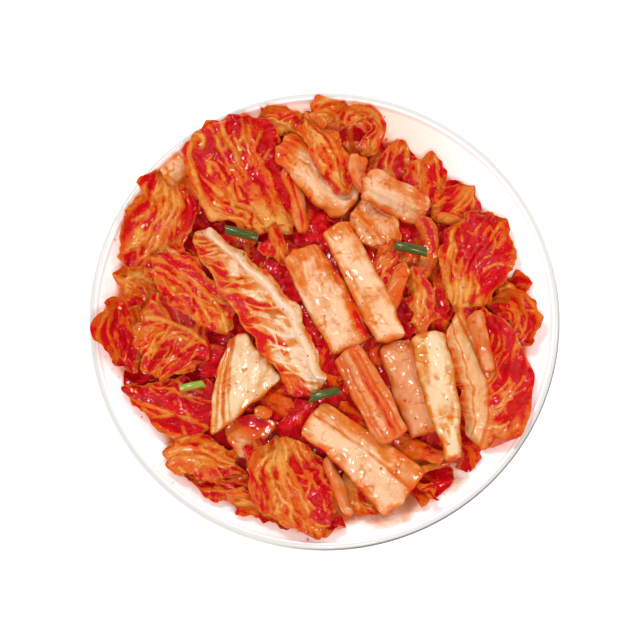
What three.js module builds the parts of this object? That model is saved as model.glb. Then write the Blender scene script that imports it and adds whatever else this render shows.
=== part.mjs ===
// Kimchi heaped on its own small white plate: seasoned cabbage stems and leaves, and a few cut
// scallions, over a tangled bed. Millimetres, +Z up, -Y towards the eater, the plate's foot on z = 0.
import * as THREE from 'three';

// ---- plate ----
const PLATE_RADIUS = 85;
const PLATE_HEIGHT = 24;
const PLATE_SEGMENTS = 60;
const FLOOR_RADIUS = 48;
const FLOOR_TOP = 6.5;
const FLOOR_UNDER = 2.5;
const WALL_POWER = 1.7; // how late the wall turns up
const WALL_DEPTH = 3.6; // measured straight down through the wall
const LIP_RADIUS = 1.5;
const FOOT_INSIDE = 44;
const FOOT_OUTSIDE = 50;
const FOOT_BEVEL = 1.3;

// ---- bed: the tangle under the pieces that show ----
const BED_RADIUS = 69;
const BED_DIP = 10; // how far the bed draws back where juice pools on the plate
const BED_DIP_ANGLE = THREE.MathUtils.degToRad(-62);
const BED_RIM = 1.6; // its least thickness, at the edge
const BED_EDGE = 11.5; // height the dome would have at the edge
const BED_DOME = 15;
const BED_LUMP = 0.9;
const BED_RINGS = 8;
const BED_SECTORS = 36;
const BED_CLEARANCE = 0.8;

// ---- how pieces lie ----
const GAP = 0.4; // kept between any two solids
const STATION = 5.6; // spacing of the cross sections along a piece
const COLUMN = 4.2; // spacing across it
const RELIEF_HALF = 92; // half side of the square of heights
const SETTLE_PASSES = 70;
const LIFT_PASSES = 12; // the last ones, in which a piece is only lifted clear
const SOFT = { pull: 0.3, weight: 0.3 }; // leaves hang into the hollows below them
const FIRM = { pull: 0.5, weight: 0.07 }; // stems bridge them

const SCALLION_SEGMENTS = 10;
const SCALLION_WALL = 0.75;

// ---- colours ----
const GLAZE = { color: 0xfbf8f4, roughness: 0.15 };
const SAUCE = { color: 0xb5161f, roughness: 0.3 };
const RED = { color: 0xcb2a22, roughness: 0.3 };
const ORANGE = { color: 0xdd6a2a, roughness: 0.3 };
const SALMON = { color: 0xe5905f, roughness: 0.25 };
const PALE = { color: 0xf2c99f, roughness: 0.25 };
const CREAM = { color: 0xf0d3a0, roughness: 0.25 };
const DARK_GREEN = { color: 0x4f6b25, roughness: 0.3 };
const BRIGHT_GREEN = { color: 0x8b9a2c, roughness: 0.3 };

// The pieces, lowest first: each lies on all before it. `path` runs along the middle of a piece and
// `widths` are spread evenly over its length. thick is its thickness at the rib, rim at the edges,
// curl how far the long edges turn up, ruffle the depth of the waves in them, lobe the depth of the
// bays in the outline, round how far each end stands out at its middle, and slant the skew of each
// cut end, as a share of the half width. rib places the rib, from -1 to 1 across.
const LEAF = { bend: SOFT, thick: 2.4, rim: 1.1, curl: 1.5, ruffle: 1.6, lobe: 0.9, round: 3.4,
  slant: [0, 0], rib: 0 };
const STEM = { bend: FIRM, thick: 4.2, rim: 2.6, curl: 0.6, ruffle: 0, lobe: 0.15, round: 0.6,
  slant: [0, 0], rib: 0 };
const STRIP = { bend: SOFT, thick: 2.6, rim: 1.4, curl: 0.6, ruffle: 0, lobe: 0.3, round: 1.2,
  slant: [0, 0], rib: 0 };

const PIECES = [
  // lowest, out to the edge of the heap
  { ...LEAF, name: 'leaf_front_left_dark', look: RED, path: [[-71, -24], [-63, -28.5], [-54, -32],
    [-38, -34]], widths: [4, 15, 23, 15] },
  { ...LEAF, name: 'leaf_front_left_red', look: RED, path: [[-51, -57], [-40, -60], [-26, -61]],
    widths: [3, 11, 9] },
  { ...LEAF, name: 'leaf_front_under', look: ORANGE, path: [[-34, -67], [-14, -70], [7, -76]],
    widths: [5, 12, 7] },
  { ...LEAF, name: 'leaf_front_right_low', look: ORANGE, path: [[8, -56], [12, -64], [19, -70]],
    widths: [10, 12, 6] },
  { ...STRIP, name: 'tip_front_right', look: ORANGE, path: [[31, -57], [36.5, -68]], widths: [6, 4] },
  { ...LEAF, name: 'curl_front_right', look: RED, path: [[43, -53], [42, -61], [35, -63]],
    widths: [6, 8, 6], curl: 3 },
  { ...STRIP, name: 'strip_front_right_short', look: ORANGE, path: [[33, -55], [45, -51]],
    widths: [5, 5] },
  { ...STRIP, name: 'strip_front_right_long', look: ORANGE, path: [[22, -42], [33, -47.5], [43, -52]],
    widths: [8, 8, 6] },
  { ...LEAF, name: 'leaf_back_right_a', look: RED, path: [[27, 67], [25, 57], [28, 46]],
    widths: [15, 14, 10] },
  { ...LEAF, name: 'leaf_back_right_b', look: RED, path: [[38, 62], [37, 52], [37, 41]],
    widths: [12, 14, 9] },
  { ...LEAF, name: 'leaf_back_right_c', look: RED, path: [[53, 50], [48, 44], [41, 37]],
    widths: [13, 14, 9] },
  { ...STRIP, name: 'strip_back_right', look: ORANGE, path: [[41, 38], [49, 36.5], [56, 33]],
    widths: [4, 4.5, 4] },
  { ...LEAF, name: 'leaf_back_far', look: ORANGE, path: [[-25, 73], [-15, 74.5], [-7, 70]],
    widths: [8, 10, 7] },
  { ...LEAF, name: 'curl_right_edge', look: RED, path: [[60, 8], [67.5, 6.5], [71.5, -2], [70, -11]],
    widths: [9, 12, 12, 9], curl: 4 },
  { ...LEAF, name: 'leaf_left_back', look: ORANGE, path: [[-57, 55], [-58, 41], [-64, 27], [-68, 16]],
    widths: [13, 21, 21, 15] },
  { ...LEAF, name: 'leaf_left_edge', look: ORANGE, path: [[-76, 16.5], [-68, 13], [-57, 5]],
    widths: [7, 13, 12] },
  { ...STRIP, name: 'chip_left_back', look: PALE, path: [[-58, 51], [-50, 59]], widths: [7, 9] },
  { ...LEAF, name: 'leaf_left_curled', look: RED, path: [[-73, 6], [-73.5, -5], [-68, -18]],
    widths: [14, 16, 12], curl: 4.5 },

  // middle
  { ...LEAF, name: 'leaf_left_ruffled', look: ORANGE, path: [[-67, -6.5], [-56, -7.5], [-43, -13.5]],
    widths: [25, 28, 17], curl: 2.5 },
  { ...LEAF, name: 'bit_left_ruffled', look: SALMON, path: [[-57, 26], [-46, 15]], widths: [7, 7] },
  { ...LEAF, name: 'leaf_left_diagonal', look: ORANGE, path: [[-62, 21], [-47, 9], [-34, -4]],
    widths: [12, 17, 11], thick: 3 },
  { ...STRIP, name: 'strips_front_left', look: ORANGE, path: [[-57, -51], [-44, -51], [-30, -55]],
    widths: [8, 16, 8] },
  { ...STRIP, name: 'piece_front_left_clear', look: SALMON, path: [[-27, -36], [-28, -44], [-28, -51]],
    widths: [20, 15, 5] },
  { ...STRIP, name: 'bit_front_left', look: ORANGE, path: [[-25, -34], [-19, -36]], widths: [5, 5] },
  { ...LEAF, name: 'lump_front_dark', look: RED, path: [[-25, -46], [-23, -57]], widths: [7, 8],
    curl: 2.5 },
  { ...LEAF, name: 'leaf_front_folded', look: ORANGE, path: [[-15, -45], [-13, -58], [-6, -70],
    [-1, -78]], widths: [15, 28, 24, 13], ruffle: 2.4 },
  { ...STRIP, name: 'strip_front_pale', look: SALMON, path: [[1, -51], [5, -62], [9, -72]],
    widths: [4, 5, 4.5] },
  { ...LEAF, name: 'leaf_back_left_fan', look: ORANGE, path: [[-12, 32], [-22, 43], [-31, 56],
    [-35, 74]], widths: [8, 28, 36, 26], thick: 3, ruffle: 2.4, rib: 0.2 },
  { ...STRIP, name: 'strip_back_short', look: SALMON, path: [[-14, 57], [-10, 44], [-7.5, 31]],
    widths: [5, 5.5, 5] },
  { ...STEM, name: 'stem_back_peach', look: PALE, path: [[-15, 65.5], [-3, 53], [9, 40.5]],
    widths: [10, 14, 13] },
  { ...LEAF, name: 'leaf_back_ribbed', look: ORANGE, path: [[-7, 76], [1, 61], [9, 46]],
    widths: [9, 12, 10] },
  { ...LEAF, name: 'bit_back', look: ORANGE, path: [[-5, 75.5], [3, 77], [9, 74]],
    widths: [8, 9, 7], ruffle: 0.8 },
  { ...LEAF, name: 'curl_back', look: ORANGE, path: [[6, 73], [13, 77], [19, 71], [14, 62]],
    widths: [5, 6, 7, 7], curl: 2.5, ruffle: 0 },
  { ...STRIP, name: 'stem_back_curved', look: SALMON, path: [[12, 59], [12, 51], [17, 46]],
    widths: [7, 6, 6], thick: 3.2 },
  { ...STRIP, name: 'piece_back_lower', look: ORANGE, path: [[12, 41], [19, 34], [25, 26]],
    widths: [8, 12, 8] },
  { ...STRIP, name: 'piece_back_broad', look: SALMON, path: [[14, 48], [26, 44], [37, 39]],
    widths: [9, 10, 8] },
  { ...LEAF, name: 'leaf_right_curled', look: ORANGE, path: [[50, 2], [53, 15], [57, 28], [60, 40]],
    widths: [9, 22, 24, 12], thick: 3, curl: 3.5 },
  { ...STRIP, name: 'strip_right_curved', look: ORANGE, path: [[35, 37], [39, 27], [34, 14]],
    widths: [6, 7, 5] },
  { ...LEAF, name: 'leaf_right_gap', look: ORANGE, path: [[27, 25], [21.5, 16], [19, 7]],
    widths: [8, 10, 6] },
  { ...STRIP, name: 'leaf_right_narrow', look: ORANGE, path: [[31, 17], [35.5, 6], [33, -6]],
    widths: [7, 9, 7] },
  { ...STRIP, name: 'strip_right_clear', look: SALMON, path: [[29, 18], [22, 0]], widths: [6, 6] },
  { ...STEM, name: 'stem_right_salmon', look: SALMON, path: [[25, -10], [31, -26], [37, -42]],
    widths: [12, 13.5, 12] },
  { ...LEAF, name: 'leaf_right_big', look: ORANGE, path: [[49, 2], [57, -11], [61.5, -23], [61.5, -35],
    [58, -46]], widths: [13, 22, 25, 23, 17], thick: 3.4, rib: -0.6 },
  { ...STRIP, name: 'strip_right_pink', look: SALMON, path: [[54, 1], [60, -19]], widths: [6, 5] },

  // top
  { ...LEAF, name: 'knob_centre_left', look: ORANGE, path: [[-20, 31], [-16, 20]], widths: [9, 8],
    curl: 1 },
  { ...STEM, name: 'stem_centre_clear', look: PALE, path: [[-9, 24], [1, 6], [10, -12]],
    widths: [14, 17, 15], thick: 3.6, rim: 2.2 },
  { ...STEM, name: 'stem_left_pale', look: CREAM, path: [[-31, -7], [-30, -20], [-28, -34]],
    widths: [7, 20, 29], slant: [0, -0.6] },
  { ...LEAF, name: 'leaf_diagonal', look: SALMON, path: [[-46, 33], [-35.5, 19.5], [-19.5, -1],
    [-9, -20], [-3, -28]], widths: [8, 14, 18, 17, 12], thick: 4.2, rim: 1.6, rib: 0.7 },
  { ...STEM, name: 'stem_front_pale', look: PALE, path: [[-5, -37], [13, -50], [29.5, -65]],
    widths: [15, 18, 22], thick: 4.8 },
  { ...STEM, name: 'stem_strip_pair', look: SALMON, path: [[8, -14], [16.5, -29], [25, -45]],
    widths: [11, 13, 12], thick: 3.6 },
  { ...STEM, name: 'stem_right_yellow', look: CREAM, path: [[37, -7], [42, -30], [46.5, -53]],
    widths: [13, 12.5, 6] },
  { ...STEM, name: 'stem_centre_top', look: PALE, path: [[4, 33], [14, 12], [24, -10]],
    widths: [11, 12, 11], thick: 4.8, slant: [0, 0.2] },
];

const SCALLIONS = [
  { name: 'scallion_back_left', look: DARK_GREEN, ends: [[-36, 31.5], [-24, 28.5]], radius: 1.8 },
  { name: 'scallion_back_right', look: DARK_GREEN, ends: [[25.4, 25], [37, 22.5]], radius: 1.8 },
  { name: 'scallion_front_left', look: BRIGHT_GREEN, ends: [[-51.8, -26.3], [-43.3, -24.4]],
    radius: 1.4 },
  { name: 'scallion_front', look: DARK_GREEN, ends: [[-5.2, -31], [5.3, -28]], radius: 1.6 },
];

const kimchi = new THREE.Group();

function addMesh(name, geometry, look) {
  geometry.computeVertexNormals();
  const mesh = new THREE.Mesh(geometry, new THREE.MeshStandardMaterial({ ...look, metalness: 0 }));
  mesh.name = name;
  kimchi.add(mesh);
}

// ---- plate ----

function plateInside(radius) {
  const climb = Math.max(0, radius - FLOOR_RADIUS) / (PLATE_RADIUS - FLOOR_RADIUS);
  return FLOOR_TOP + (PLATE_HEIGHT - FLOOR_TOP) * climb ** WALL_POWER;
}

function addPlate() {
  const wallRadii = Array.from({ length: 6 }, (_, i) => THREE.MathUtils.lerp(53, 82, i / 5));
  const profile = [[0, FLOOR_UNDER], [FOOT_INSIDE, FLOOR_UNDER], [FOOT_INSIDE + FOOT_BEVEL, 0],
    [FOOT_OUTSIDE - FOOT_BEVEL, 0], [FOOT_OUTSIDE, plateInside(FOOT_OUTSIDE) - WALL_DEPTH]];
  wallRadii.forEach((radius) => profile.push([radius, plateInside(radius) - WALL_DEPTH]));
  for (let degrees = -35; degrees <= 145; degrees += 45) {
    const turn = THREE.MathUtils.degToRad(degrees);
    profile.push([PLATE_RADIUS - LIP_RADIUS + LIP_RADIUS * Math.cos(turn),
      PLATE_HEIGHT - LIP_RADIUS + LIP_RADIUS * Math.sin(turn)]);
  }
  wallRadii.reverse().forEach((radius) => profile.push([radius, plateInside(radius)]));
  profile.push([FLOOR_RADIUS, FLOOR_TOP], [0, FLOOR_TOP]);
  const points = profile.map(([radius, height]) => new THREE.Vector2(radius, height));
  const geometry = new THREE.LatheGeometry(points, PLATE_SEGMENTS);
  geometry.rotateX(Math.PI / 2);
  addMesh('plate', geometry, GLAZE);
}

// ---- relief: the height reached so far over each millimetre of plan ----

const RELIEF_SIDE = 2 * RELIEF_HALF + 1;
const relief = new Float64Array(RELIEF_SIDE ** 2);

function reliefCell(x, y) {
  return (Math.round(y) + RELIEF_HALF) * RELIEF_SIDE + Math.round(x) + RELIEF_HALF;
}

function startRelief() {
  for (let y = -RELIEF_HALF; y <= RELIEF_HALF; y += 1) {
    for (let x = -RELIEF_HALF; x <= RELIEF_HALF; x += 1) {
      const radius = Math.hypot(x, y);
      const onLip = radius > PLATE_RADIUS - 2 * LIP_RADIUS;
      relief[reliefCell(x, y)] = onLip ? PLATE_HEIGHT : plateInside(radius);
    }
  }
}

// the highest point within a millimetre each way
function supportAt(x, y) {
  let highest = 0;
  for (let dy = -1; dy <= 1; dy += 1) {
    for (let dx = -1; dx <= 1; dx += 1) {
      highest = Math.max(highest, relief[reliefCell(x + dx, y + dy)]);
    }
  }
  return highest;
}

// visits every millimetre point in plan inside the triangle, with its three weights
function overTriangle(corners, visit) {
  const [a, b, c] = corners;
  const area = (b.x - a.x) * (c.y - a.y) - (c.x - a.x) * (b.y - a.y);
  const xs = corners.map((corner) => corner.x);
  const ys = corners.map((corner) => corner.y);
  for (let y = Math.ceil(Math.min(...ys)); y <= Math.max(...ys); y += 1) {
    for (let x = Math.ceil(Math.min(...xs)); x <= Math.max(...xs); x += 1) {
      const second = ((x - a.x) * (c.y - a.y) - (c.x - a.x) * (y - a.y)) / area;
      const third = ((b.x - a.x) * (y - a.y) - (x - a.x) * (b.y - a.y)) / area;
      const weights = [1 - second - third, second, third];
      if (Math.min(...weights) >= 0) visit(x, y, weights);
    }
  }
}

function raiseRelief(plan, heights, triangles) {
  triangles.forEach((triangle) => {
    overTriangle(triangle.map((i) => plan[i]), (x, y, weights) => {
      const height = triangle.reduce((sum, i, k) => sum + weights[k] * heights[i], 0);
      const cell = reliefCell(x, y);
      relief[cell] = Math.max(relief[cell], height);
    });
  });
}

// ---- closed solid between two sheets that share one plan ----

function slab(plan, bottom, top, triangles, rim) {
  const count = plan.length;
  const positions = [];
  [bottom, top].forEach((sheet) => {
    plan.forEach((point, i) => positions.push(point.x, point.y, sheet[i]));
  });
  const index = [];
  triangles.forEach(([a, b, c]) => index.push(a, c, b, a + count, b + count, c + count));
  rim.forEach((a, i) => {
    const b = rim[(i + 1) % rim.length];
    index.push(a, b, b + count, a, b + count, a + count);
  });
  const geometry = new THREE.BufferGeometry();
  geometry.setAttribute('position', new THREE.Float32BufferAttribute(positions, 3));
  geometry.setIndex(index);
  return geometry;
}

// ---- bed ----

function bedRadius(angle) {
  const waves = 1.4 * Math.sin(3 * angle + 0.6) + 1.4 * Math.sin(7 * angle + 2);
  const dip = Math.exp(-(((angle - BED_DIP_ANGLE) / 0.45) ** 2));
  return BED_RADIUS + waves - BED_DIP * dip;
}

function addBed() {
  const plan = [new THREE.Vector2(0, 0)];
  const share = [0];
  for (let ring = 1; ring <= BED_RINGS; ring += 1) {
    for (let sector = 0; sector < BED_SECTORS; sector += 1) {
      const angle = (sector / BED_SECTORS) * 2 * Math.PI - Math.PI;
      const radius = (bedRadius(angle) * ring) / BED_RINGS;
      plan.push(new THREE.Vector2(radius * Math.cos(angle), radius * Math.sin(angle)));
      share.push(ring / BED_RINGS);
    }
  }
  const vertex = (ring, sector) => (ring ? 1 + (ring - 1) * BED_SECTORS + (sector % BED_SECTORS) : 0);
  const triangles = [];
  for (let ring = 0; ring < BED_RINGS; ring += 1) {
    for (let sector = 0; sector < BED_SECTORS; sector += 1) {
      triangles.push([vertex(ring, sector), vertex(ring + 1, sector), vertex(ring + 1, sector + 1)]);
      if (ring) {
        triangles.push([vertex(ring, sector), vertex(ring + 1, sector + 1), vertex(ring, sector + 1)]);
      }
    }
  }
  const rim = Array.from({ length: BED_SECTORS }, (_, sector) => vertex(BED_RINGS, sector));
  const bottom = plan.map((point) => plateInside(point.length()) + BED_CLEARANCE);
  const top = plan.map((point, i) => {
    const lump = Math.sin(point.x / 3.1 + 1.3 * Math.sin(point.y / 7)) * Math.cos(point.y / 4.3);
    const dome = BED_EDGE + BED_DOME * (1 - share[i] ** 2) + BED_LUMP * lump * (1 - share[i] ** 4);
    return Math.max(dome, bottom[i] + BED_RIM);
  });
  addMesh('kimchi_bed', slab(plan, bottom, top, triangles, rim), SAUCE);
  raiseRelief(plan, top, triangles);
}

// ---- leaves, stems and strips ----

function sheetTriangles(rows, columns) {
  const triangles = [];
  for (let i = 0; i < rows; i += 1) {
    for (let j = 0; j < columns; j += 1) {
      const corner = i * (columns + 1) + j;
      const next = corner + columns + 1;
      triangles.push([corner, next, next + 1], [corner, next + 1, corner + 1]);
    }
  }
  return triangles;
}

function sheetRim(rows, columns) {
  const width = columns + 1;
  const rim = [];
  for (let i = 0; i < rows; i += 1) rim.push(i * width);
  for (let j = 0; j < columns; j += 1) rim.push(rows * width + j);
  for (let i = rows; i > 0; i -= 1) rim.push(i * width + columns);
  for (let j = columns; j > 0; j -= 1) rim.push(j);
  return rim;
}

// lays a sheet on the relief: it sags under its weight, and is lifted wherever it would touch
function settle(plan, triangles, bend) {
  const contacts = plan.map((point, i) => (
    { corners: [i], weights: [1], height: supportAt(point.x, point.y) + GAP }));
  triangles.forEach((corners) => {
    overTriangle(corners.map((i) => plan[i]), (x, y, weights) => {
      contacts.push({ corners, weights, height: supportAt(x, y) + GAP });
    });
  });
  const neighbours = plan.map(() => new Set());
  triangles.forEach((corners) => corners.forEach((i) => corners.forEach((k) => {
    if (i !== k) neighbours[i].add(k);
  })));
  let heights = contacts.slice(0, plan.length).map((contact) => contact.height);
  for (let pass = 0; pass < SETTLE_PASSES; pass += 1) {
    if (pass < SETTLE_PASSES - LIFT_PASSES) {
      heights = heights.map((height, i) => {
        const around = [...neighbours[i]];
        const mean = around.reduce((sum, k) => sum + heights[k], 0) / around.length;
        return height + bend.pull * (mean - height) - bend.weight;
      });
    }
    contacts.forEach(({ corners, weights, height }) => {
      const here = corners.reduce((sum, i, k) => sum + weights[k] * heights[i], 0);
      if (here >= height) return;
      const share = weights.reduce((sum, weight) => sum + weight ** 2, 0);
      corners.forEach((i, k) => {
        heights[i] += ((height - here) * weights[k]) / share;
      });
    });
  }
  return heights;
}

function addPiece(piece) {
  const curve = new THREE.SplineCurve(piece.path.map(([x, y]) => new THREE.Vector2(x, y)));
  const widths = new THREE.SplineCurve(piece.widths.map((width, i) => new THREE.Vector2(i, width)));
  const rows = Math.max(2, Math.round(curve.getLength() / STATION));
  const columns = Math.max(2, Math.round(Math.max(...piece.widths) / COLUMN));
  const plan = [];
  const lift = [];
  const thickness = [];
  for (let i = 0; i <= rows; i += 1) {
    const along = i / rows;
    const middle = curve.getPointAt(along);
    const heading = curve.getTangentAt(along);
    const half = widths.getPoint(along).y / 2;
    const skew = THREE.MathUtils.lerp(piece.slant[0], piece.slant[1], along) * half;
    const share = Math.min(1, half / 9);
    const end = (Number(i === rows) - Number(i === 0)) * share;
    for (let j = 0; j <= columns; j += 1) {
      const across = (2 * j) / columns - 1;
      const turn = 2.4 * i + 1.7 * Math.sign(across) + piece.path[0][0];
      const wave = 0.5 + 0.5 * Math.sin(turn);
      const ridge = Math.exp(-(((across - piece.rib) / 0.4) ** 2));
      const aside = (half + piece.lobe * share * Math.cos(turn)) * across;
      const ahead = skew * across + end * piece.round * (0.5 - across ** 2);
      plan.push(new THREE.Vector2(middle.x - heading.y * aside + heading.x * ahead,
        middle.y + heading.x * aside + heading.y * ahead));
      lift.push(piece.curl * Math.abs(across) ** 3 + piece.ruffle * wave * across ** 2);
      thickness.push(THREE.MathUtils.lerp(piece.rim, piece.thick, ridge));
    }
  }
  const triangles = sheetTriangles(rows, columns);
  const bottom = settle(plan, triangles, piece.bend).map((height, i) => height + lift[i]);
  const top = bottom.map((height, i) => height + thickness[i]);
  addMesh(piece.name, slab(plan, bottom, top, triangles, sheetRim(rows, columns)), piece.look);
  raiseRelief(plan, top, triangles);
}

// ---- scallions: short hollow cuts of green onion leaf ----

function addScallion({ name, look, ends, radius }) {
  const [start, end] = ends.map(([x, y]) => new THREE.Vector2(x, y));
  const middle = start.clone().add(end).divideScalar(2);
  const length = start.distanceTo(end);
  const heading = end.clone().sub(start).normalize();
  const inner = radius - SCALLION_WALL;
  const profile = [[inner, 0], [radius, 0], [radius, length], [inner, length], [inner, 0]];
  const geometry = new THREE.LatheGeometry(
    profile.map(([away, along]) => new THREE.Vector2(away, along - length / 2)), SCALLION_SEGMENTS);
  let height = 0;
  for (let along = -length / 2 - 1; along <= length / 2 + 1; along += 0.5) {
    for (let aside = -radius; aside <= radius; aside += radius / 2) {
      height = Math.max(height, supportAt(middle.x + heading.x * along - heading.y * aside,
        middle.y + heading.y * along + heading.x * aside));
    }
  }
  geometry.rotateZ(Math.atan2(heading.y, heading.x) - Math.PI / 2);
  geometry.translate(middle.x, middle.y, height + radius + GAP);
  addMesh(name, geometry, look);
}

addPlate();
startRelief();
addBed();
PIECES.forEach(addPiece);
SCALLIONS.forEach(addScallion);

export default kimchi;
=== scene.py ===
# %% [markdown]
# # Kimchi on its plate
# A small white plate holds a heap of seasoned napa cabbage: thick pale stems, thin ruffled leaves
# soaked in red chili sauce, and a few cuts of scallion. The frame gives every piece its place and
# size; this file turns each of them into something that looks like wet, salted cabbage.

# %% Load the frame
import math
from types import SimpleNamespace
import bpy
import numpy as np
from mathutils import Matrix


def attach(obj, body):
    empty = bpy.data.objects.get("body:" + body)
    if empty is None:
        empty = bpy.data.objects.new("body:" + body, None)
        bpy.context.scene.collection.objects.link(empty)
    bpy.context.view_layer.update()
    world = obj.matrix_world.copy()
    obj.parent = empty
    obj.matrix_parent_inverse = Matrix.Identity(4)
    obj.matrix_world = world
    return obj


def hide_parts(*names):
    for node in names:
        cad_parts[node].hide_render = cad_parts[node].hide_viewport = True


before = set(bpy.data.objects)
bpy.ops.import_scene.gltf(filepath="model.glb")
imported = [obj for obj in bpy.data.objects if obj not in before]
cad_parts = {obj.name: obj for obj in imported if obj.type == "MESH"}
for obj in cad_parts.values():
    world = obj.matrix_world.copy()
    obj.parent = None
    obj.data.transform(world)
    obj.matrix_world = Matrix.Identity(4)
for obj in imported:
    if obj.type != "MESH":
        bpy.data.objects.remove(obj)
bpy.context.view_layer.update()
MM = 0.001  # shapes below are worked out in millimetres, and scaled by this as meshes are made

# %% [markdown]
# Cabbage is never regular, so nearly everything below is bent by smooth noise. Gradient noise in
# numpy works on whole grids at once, and an integer hash in place of a random table makes it come
# out the same in every run. A length in mm that is divided by 8 before it goes in gives waves about
# 8 mm long, so such divisors are the sizes of folds, bulges and streaks. Crests are the same noise
# folded at zero: thin ridges with wide troughs between, which is how veins and pleats look.

# %% Smooth noise on whole arrays
def noise(x, y, seed=0):
    cell_x, cell_y = np.floor(x).astype(np.int64), np.floor(y).astype(np.int64)
    part_x, part_y = x - cell_x, y - cell_y

    def pull(step_x, step_y):
        key = (cell_x + step_x) * 374761393 + (cell_y + step_y) * 668265263 + seed * 974634777
        key = ((key ^ (key >> 13)) * 1274126177) & 0xFFFFFFFF
        turn = ((key ^ (key >> 16)) & 0xFFFF) / 0xFFFF * 2 * math.pi
        return np.cos(turn) * (part_x - step_x) + np.sin(turn) * (part_y - step_y)

    ease_x = part_x ** 3 * (part_x * (part_x * 6 - 15) + 10)
    ease_y = part_y ** 3 * (part_y * (part_y * 6 - 15) + 10)
    near = pull(0, 0) * (1 - ease_x) + pull(1, 0) * ease_x
    far = pull(0, 1) * (1 - ease_x) + pull(1, 1) * ease_x
    return 1.5 * (near * (1 - ease_y) + far * ease_y)


def crests(x, y, seed=0):
    return 1 - np.minimum(1, 1.9 * np.abs(noise(x, y, seed)))


def fade(value, low, high):
    """0 up to `low` and 1 from `high` on, with a soft step between; `low` may be the larger one."""
    share = np.clip((value - low) / (high - low), 0, 1)
    return share * share * (3 - 2 * share)


swatch = noise(*np.mgrid[0:20:0.1, 0:20:0.1])
print("noise runs from", round(swatch.min(), 2), "to", round(swatch.max(), 2))

# %% [markdown]
# Each leaf and stem in the frame is a thin slab on a lattice of cross sections, split into triangles.
# Reading that lattice back gives the piece its own directions, along from one cut end to the other
# and across between the margins, which veins and fibres follow. The slab's top corner points with two
# triangles are where its long sides begin, and every next column is the third point of the triangles
# on the left of the one before.

# %% Read a slab's lattice back from its triangles
LEVEL = 0.02  # a triangle that looks smaller than this from above, in mm2 times two, is part of a wall


def read_faces(node):
    """A node's corner points in mm, each one once, and its triangles."""
    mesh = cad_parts[node].data
    corners = np.empty(len(mesh.vertices) * 3)
    mesh.vertices.foreach_get("co", corners)
    points, merged = np.unique(np.round(corners.reshape(-1, 3) / MM, 3), axis=0, return_inverse=True)
    loops = np.empty(len(mesh.loops), int)
    mesh.loops.foreach_get("vertex_index", loops)
    return points, merged.reshape(-1)[loops].reshape(-1, 3)


def read_lattice(node, flip):
    """A slab's upper points as rows from end to end, and the heights of those below them."""
    points, faces = read_faces(node)
    a, b, c = (points[faces[:, k]] for k in range(3))
    facing = (b - a)[:, 0] * (c - a)[:, 1] - (b - a)[:, 1] * (c - a)[:, 0]
    upper, lower = faces[facing > LEVEL], np.unique(faces[facing < -LEVEL])
    third = {}
    for p, q, r in upper:
        third.update({(p, q): r, (q, r): p, (r, p): q})
    follow = {p: q for p, q in third if (q, p) not in third}
    touching = np.bincount(upper.ravel())
    column = [next(p for p in follow if touching[p] == 2)]
    while touching[column[-1]] != 1:
        column.append(follow[column[-1]])
    columns = [column]
    while (column[0], column[1]) in third:
        rest = [third[pair] for pair in zip(column, column[1:])]
        column = [third[(column[0], rest[0])]] + rest
        columns.append(column)
    top = points[np.array(columns).T]
    away = np.linalg.norm(top[..., None, :2] - points[lower][:, :2], axis=-1)
    under = points[lower][np.argmin(away, axis=-1), 2]
    start, end = top[0].mean(axis=0), top[-1].mean(axis=0)
    turned = (start[1] - start[0] < end[1] - end[0]) != flip
    return (top[::-1, ::-1], under[::-1, ::-1]) if turned else (top, under)


PIECES = [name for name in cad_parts
          if name not in ("plate", "kimchi_bed") and not name.startswith("scallion")]
FLIPPED = ("leaf_back_left_fan", "leaf_right_curled")  # their veins start at the other end
lattices = {name: read_lattice(name, name in FLIPPED) for name in PIECES}
print("lattices:", {name: top.shape[:2] for name, (top, under) in lattices.items()})

# %% [markdown]
# A lattice has a corner every five millimetres, which is far too coarse for a leaf, so a smooth sheet
# is drawn through it. Two kinds of cubic curve do that. One goes through every point, which keeps the
# outline where it is. The other only goes near them and irons out kinks, which suits the heights.

# %% Draw a smooth sheet through a coarse lattice
def refine(rows, count, soft):
    """`count` even points on a curve along axis 0: through the points, or soft between them."""
    padded = np.concatenate([2 * rows[:1] - rows[1:2], rows, 2 * rows[-1:] - rows[-2:-1]])
    place = np.linspace(0, len(rows) - 1, count)
    first = np.minimum(place.astype(int), len(rows) - 2)
    t = (place - first).reshape((-1,) + (1,) * (rows.ndim - 1))
    p, q, r, s = (padded[first + k] for k in range(4))
    if soft:
        return ((1 - t) ** 3 * p + (3 * t ** 3 - 6 * t ** 2 + 4) * q
                + (3 * t + 3 * t ** 2 - 3 * t ** 3 + 1) * r + t ** 3 * s) / 6
    return 0.5 * (2 * q + (r - p) * t + (2 * p - 5 * q + 4 * r - s) * t ** 2
                  + (3 * q - p - 3 * r + s) * t ** 3)


def refine_both(grid, along, across, soft):
    spread = refine(grid, along, soft)
    return np.swapaxes(refine(np.swapaxes(spread, 0, 1), across, soft), 0, 1)


STEP = 0.4  # spacing of the points of a finished piece
sheets = {}
for name, (top, under) in lattices.items():
    rise = np.linalg.norm(np.diff(top, axis=0), axis=-1).sum(axis=0).max()
    wide = np.linalg.norm(np.diff(top, axis=1), axis=-1).sum(axis=1).max()
    count = (int(rise / STEP) + 2, int(wide / STEP) + 2)
    plan = refine_both(top[..., :2], *count, soft=False)
    sheets[name] = {"x": plan[..., 0], "y": plan[..., 1], "length": rise,
                    "top": refine_both(top[..., 2], *count, soft=True),
                    "under": refine_both(under, *count, soft=True)}
print("points on the sheets:", sum(sheet["x"].size for sheet in sheets.values()))

# %% [markdown]
# Pieces lie on each other with very little room between. A map of the heap with one value for each
# half millimetre answers two questions for every piece: what lies over this spot, and how low is it?
# A crest of a leaf is then pressed flat where another piece rests on it, as its weight would do, and
# no surface breaks through the next.

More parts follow.
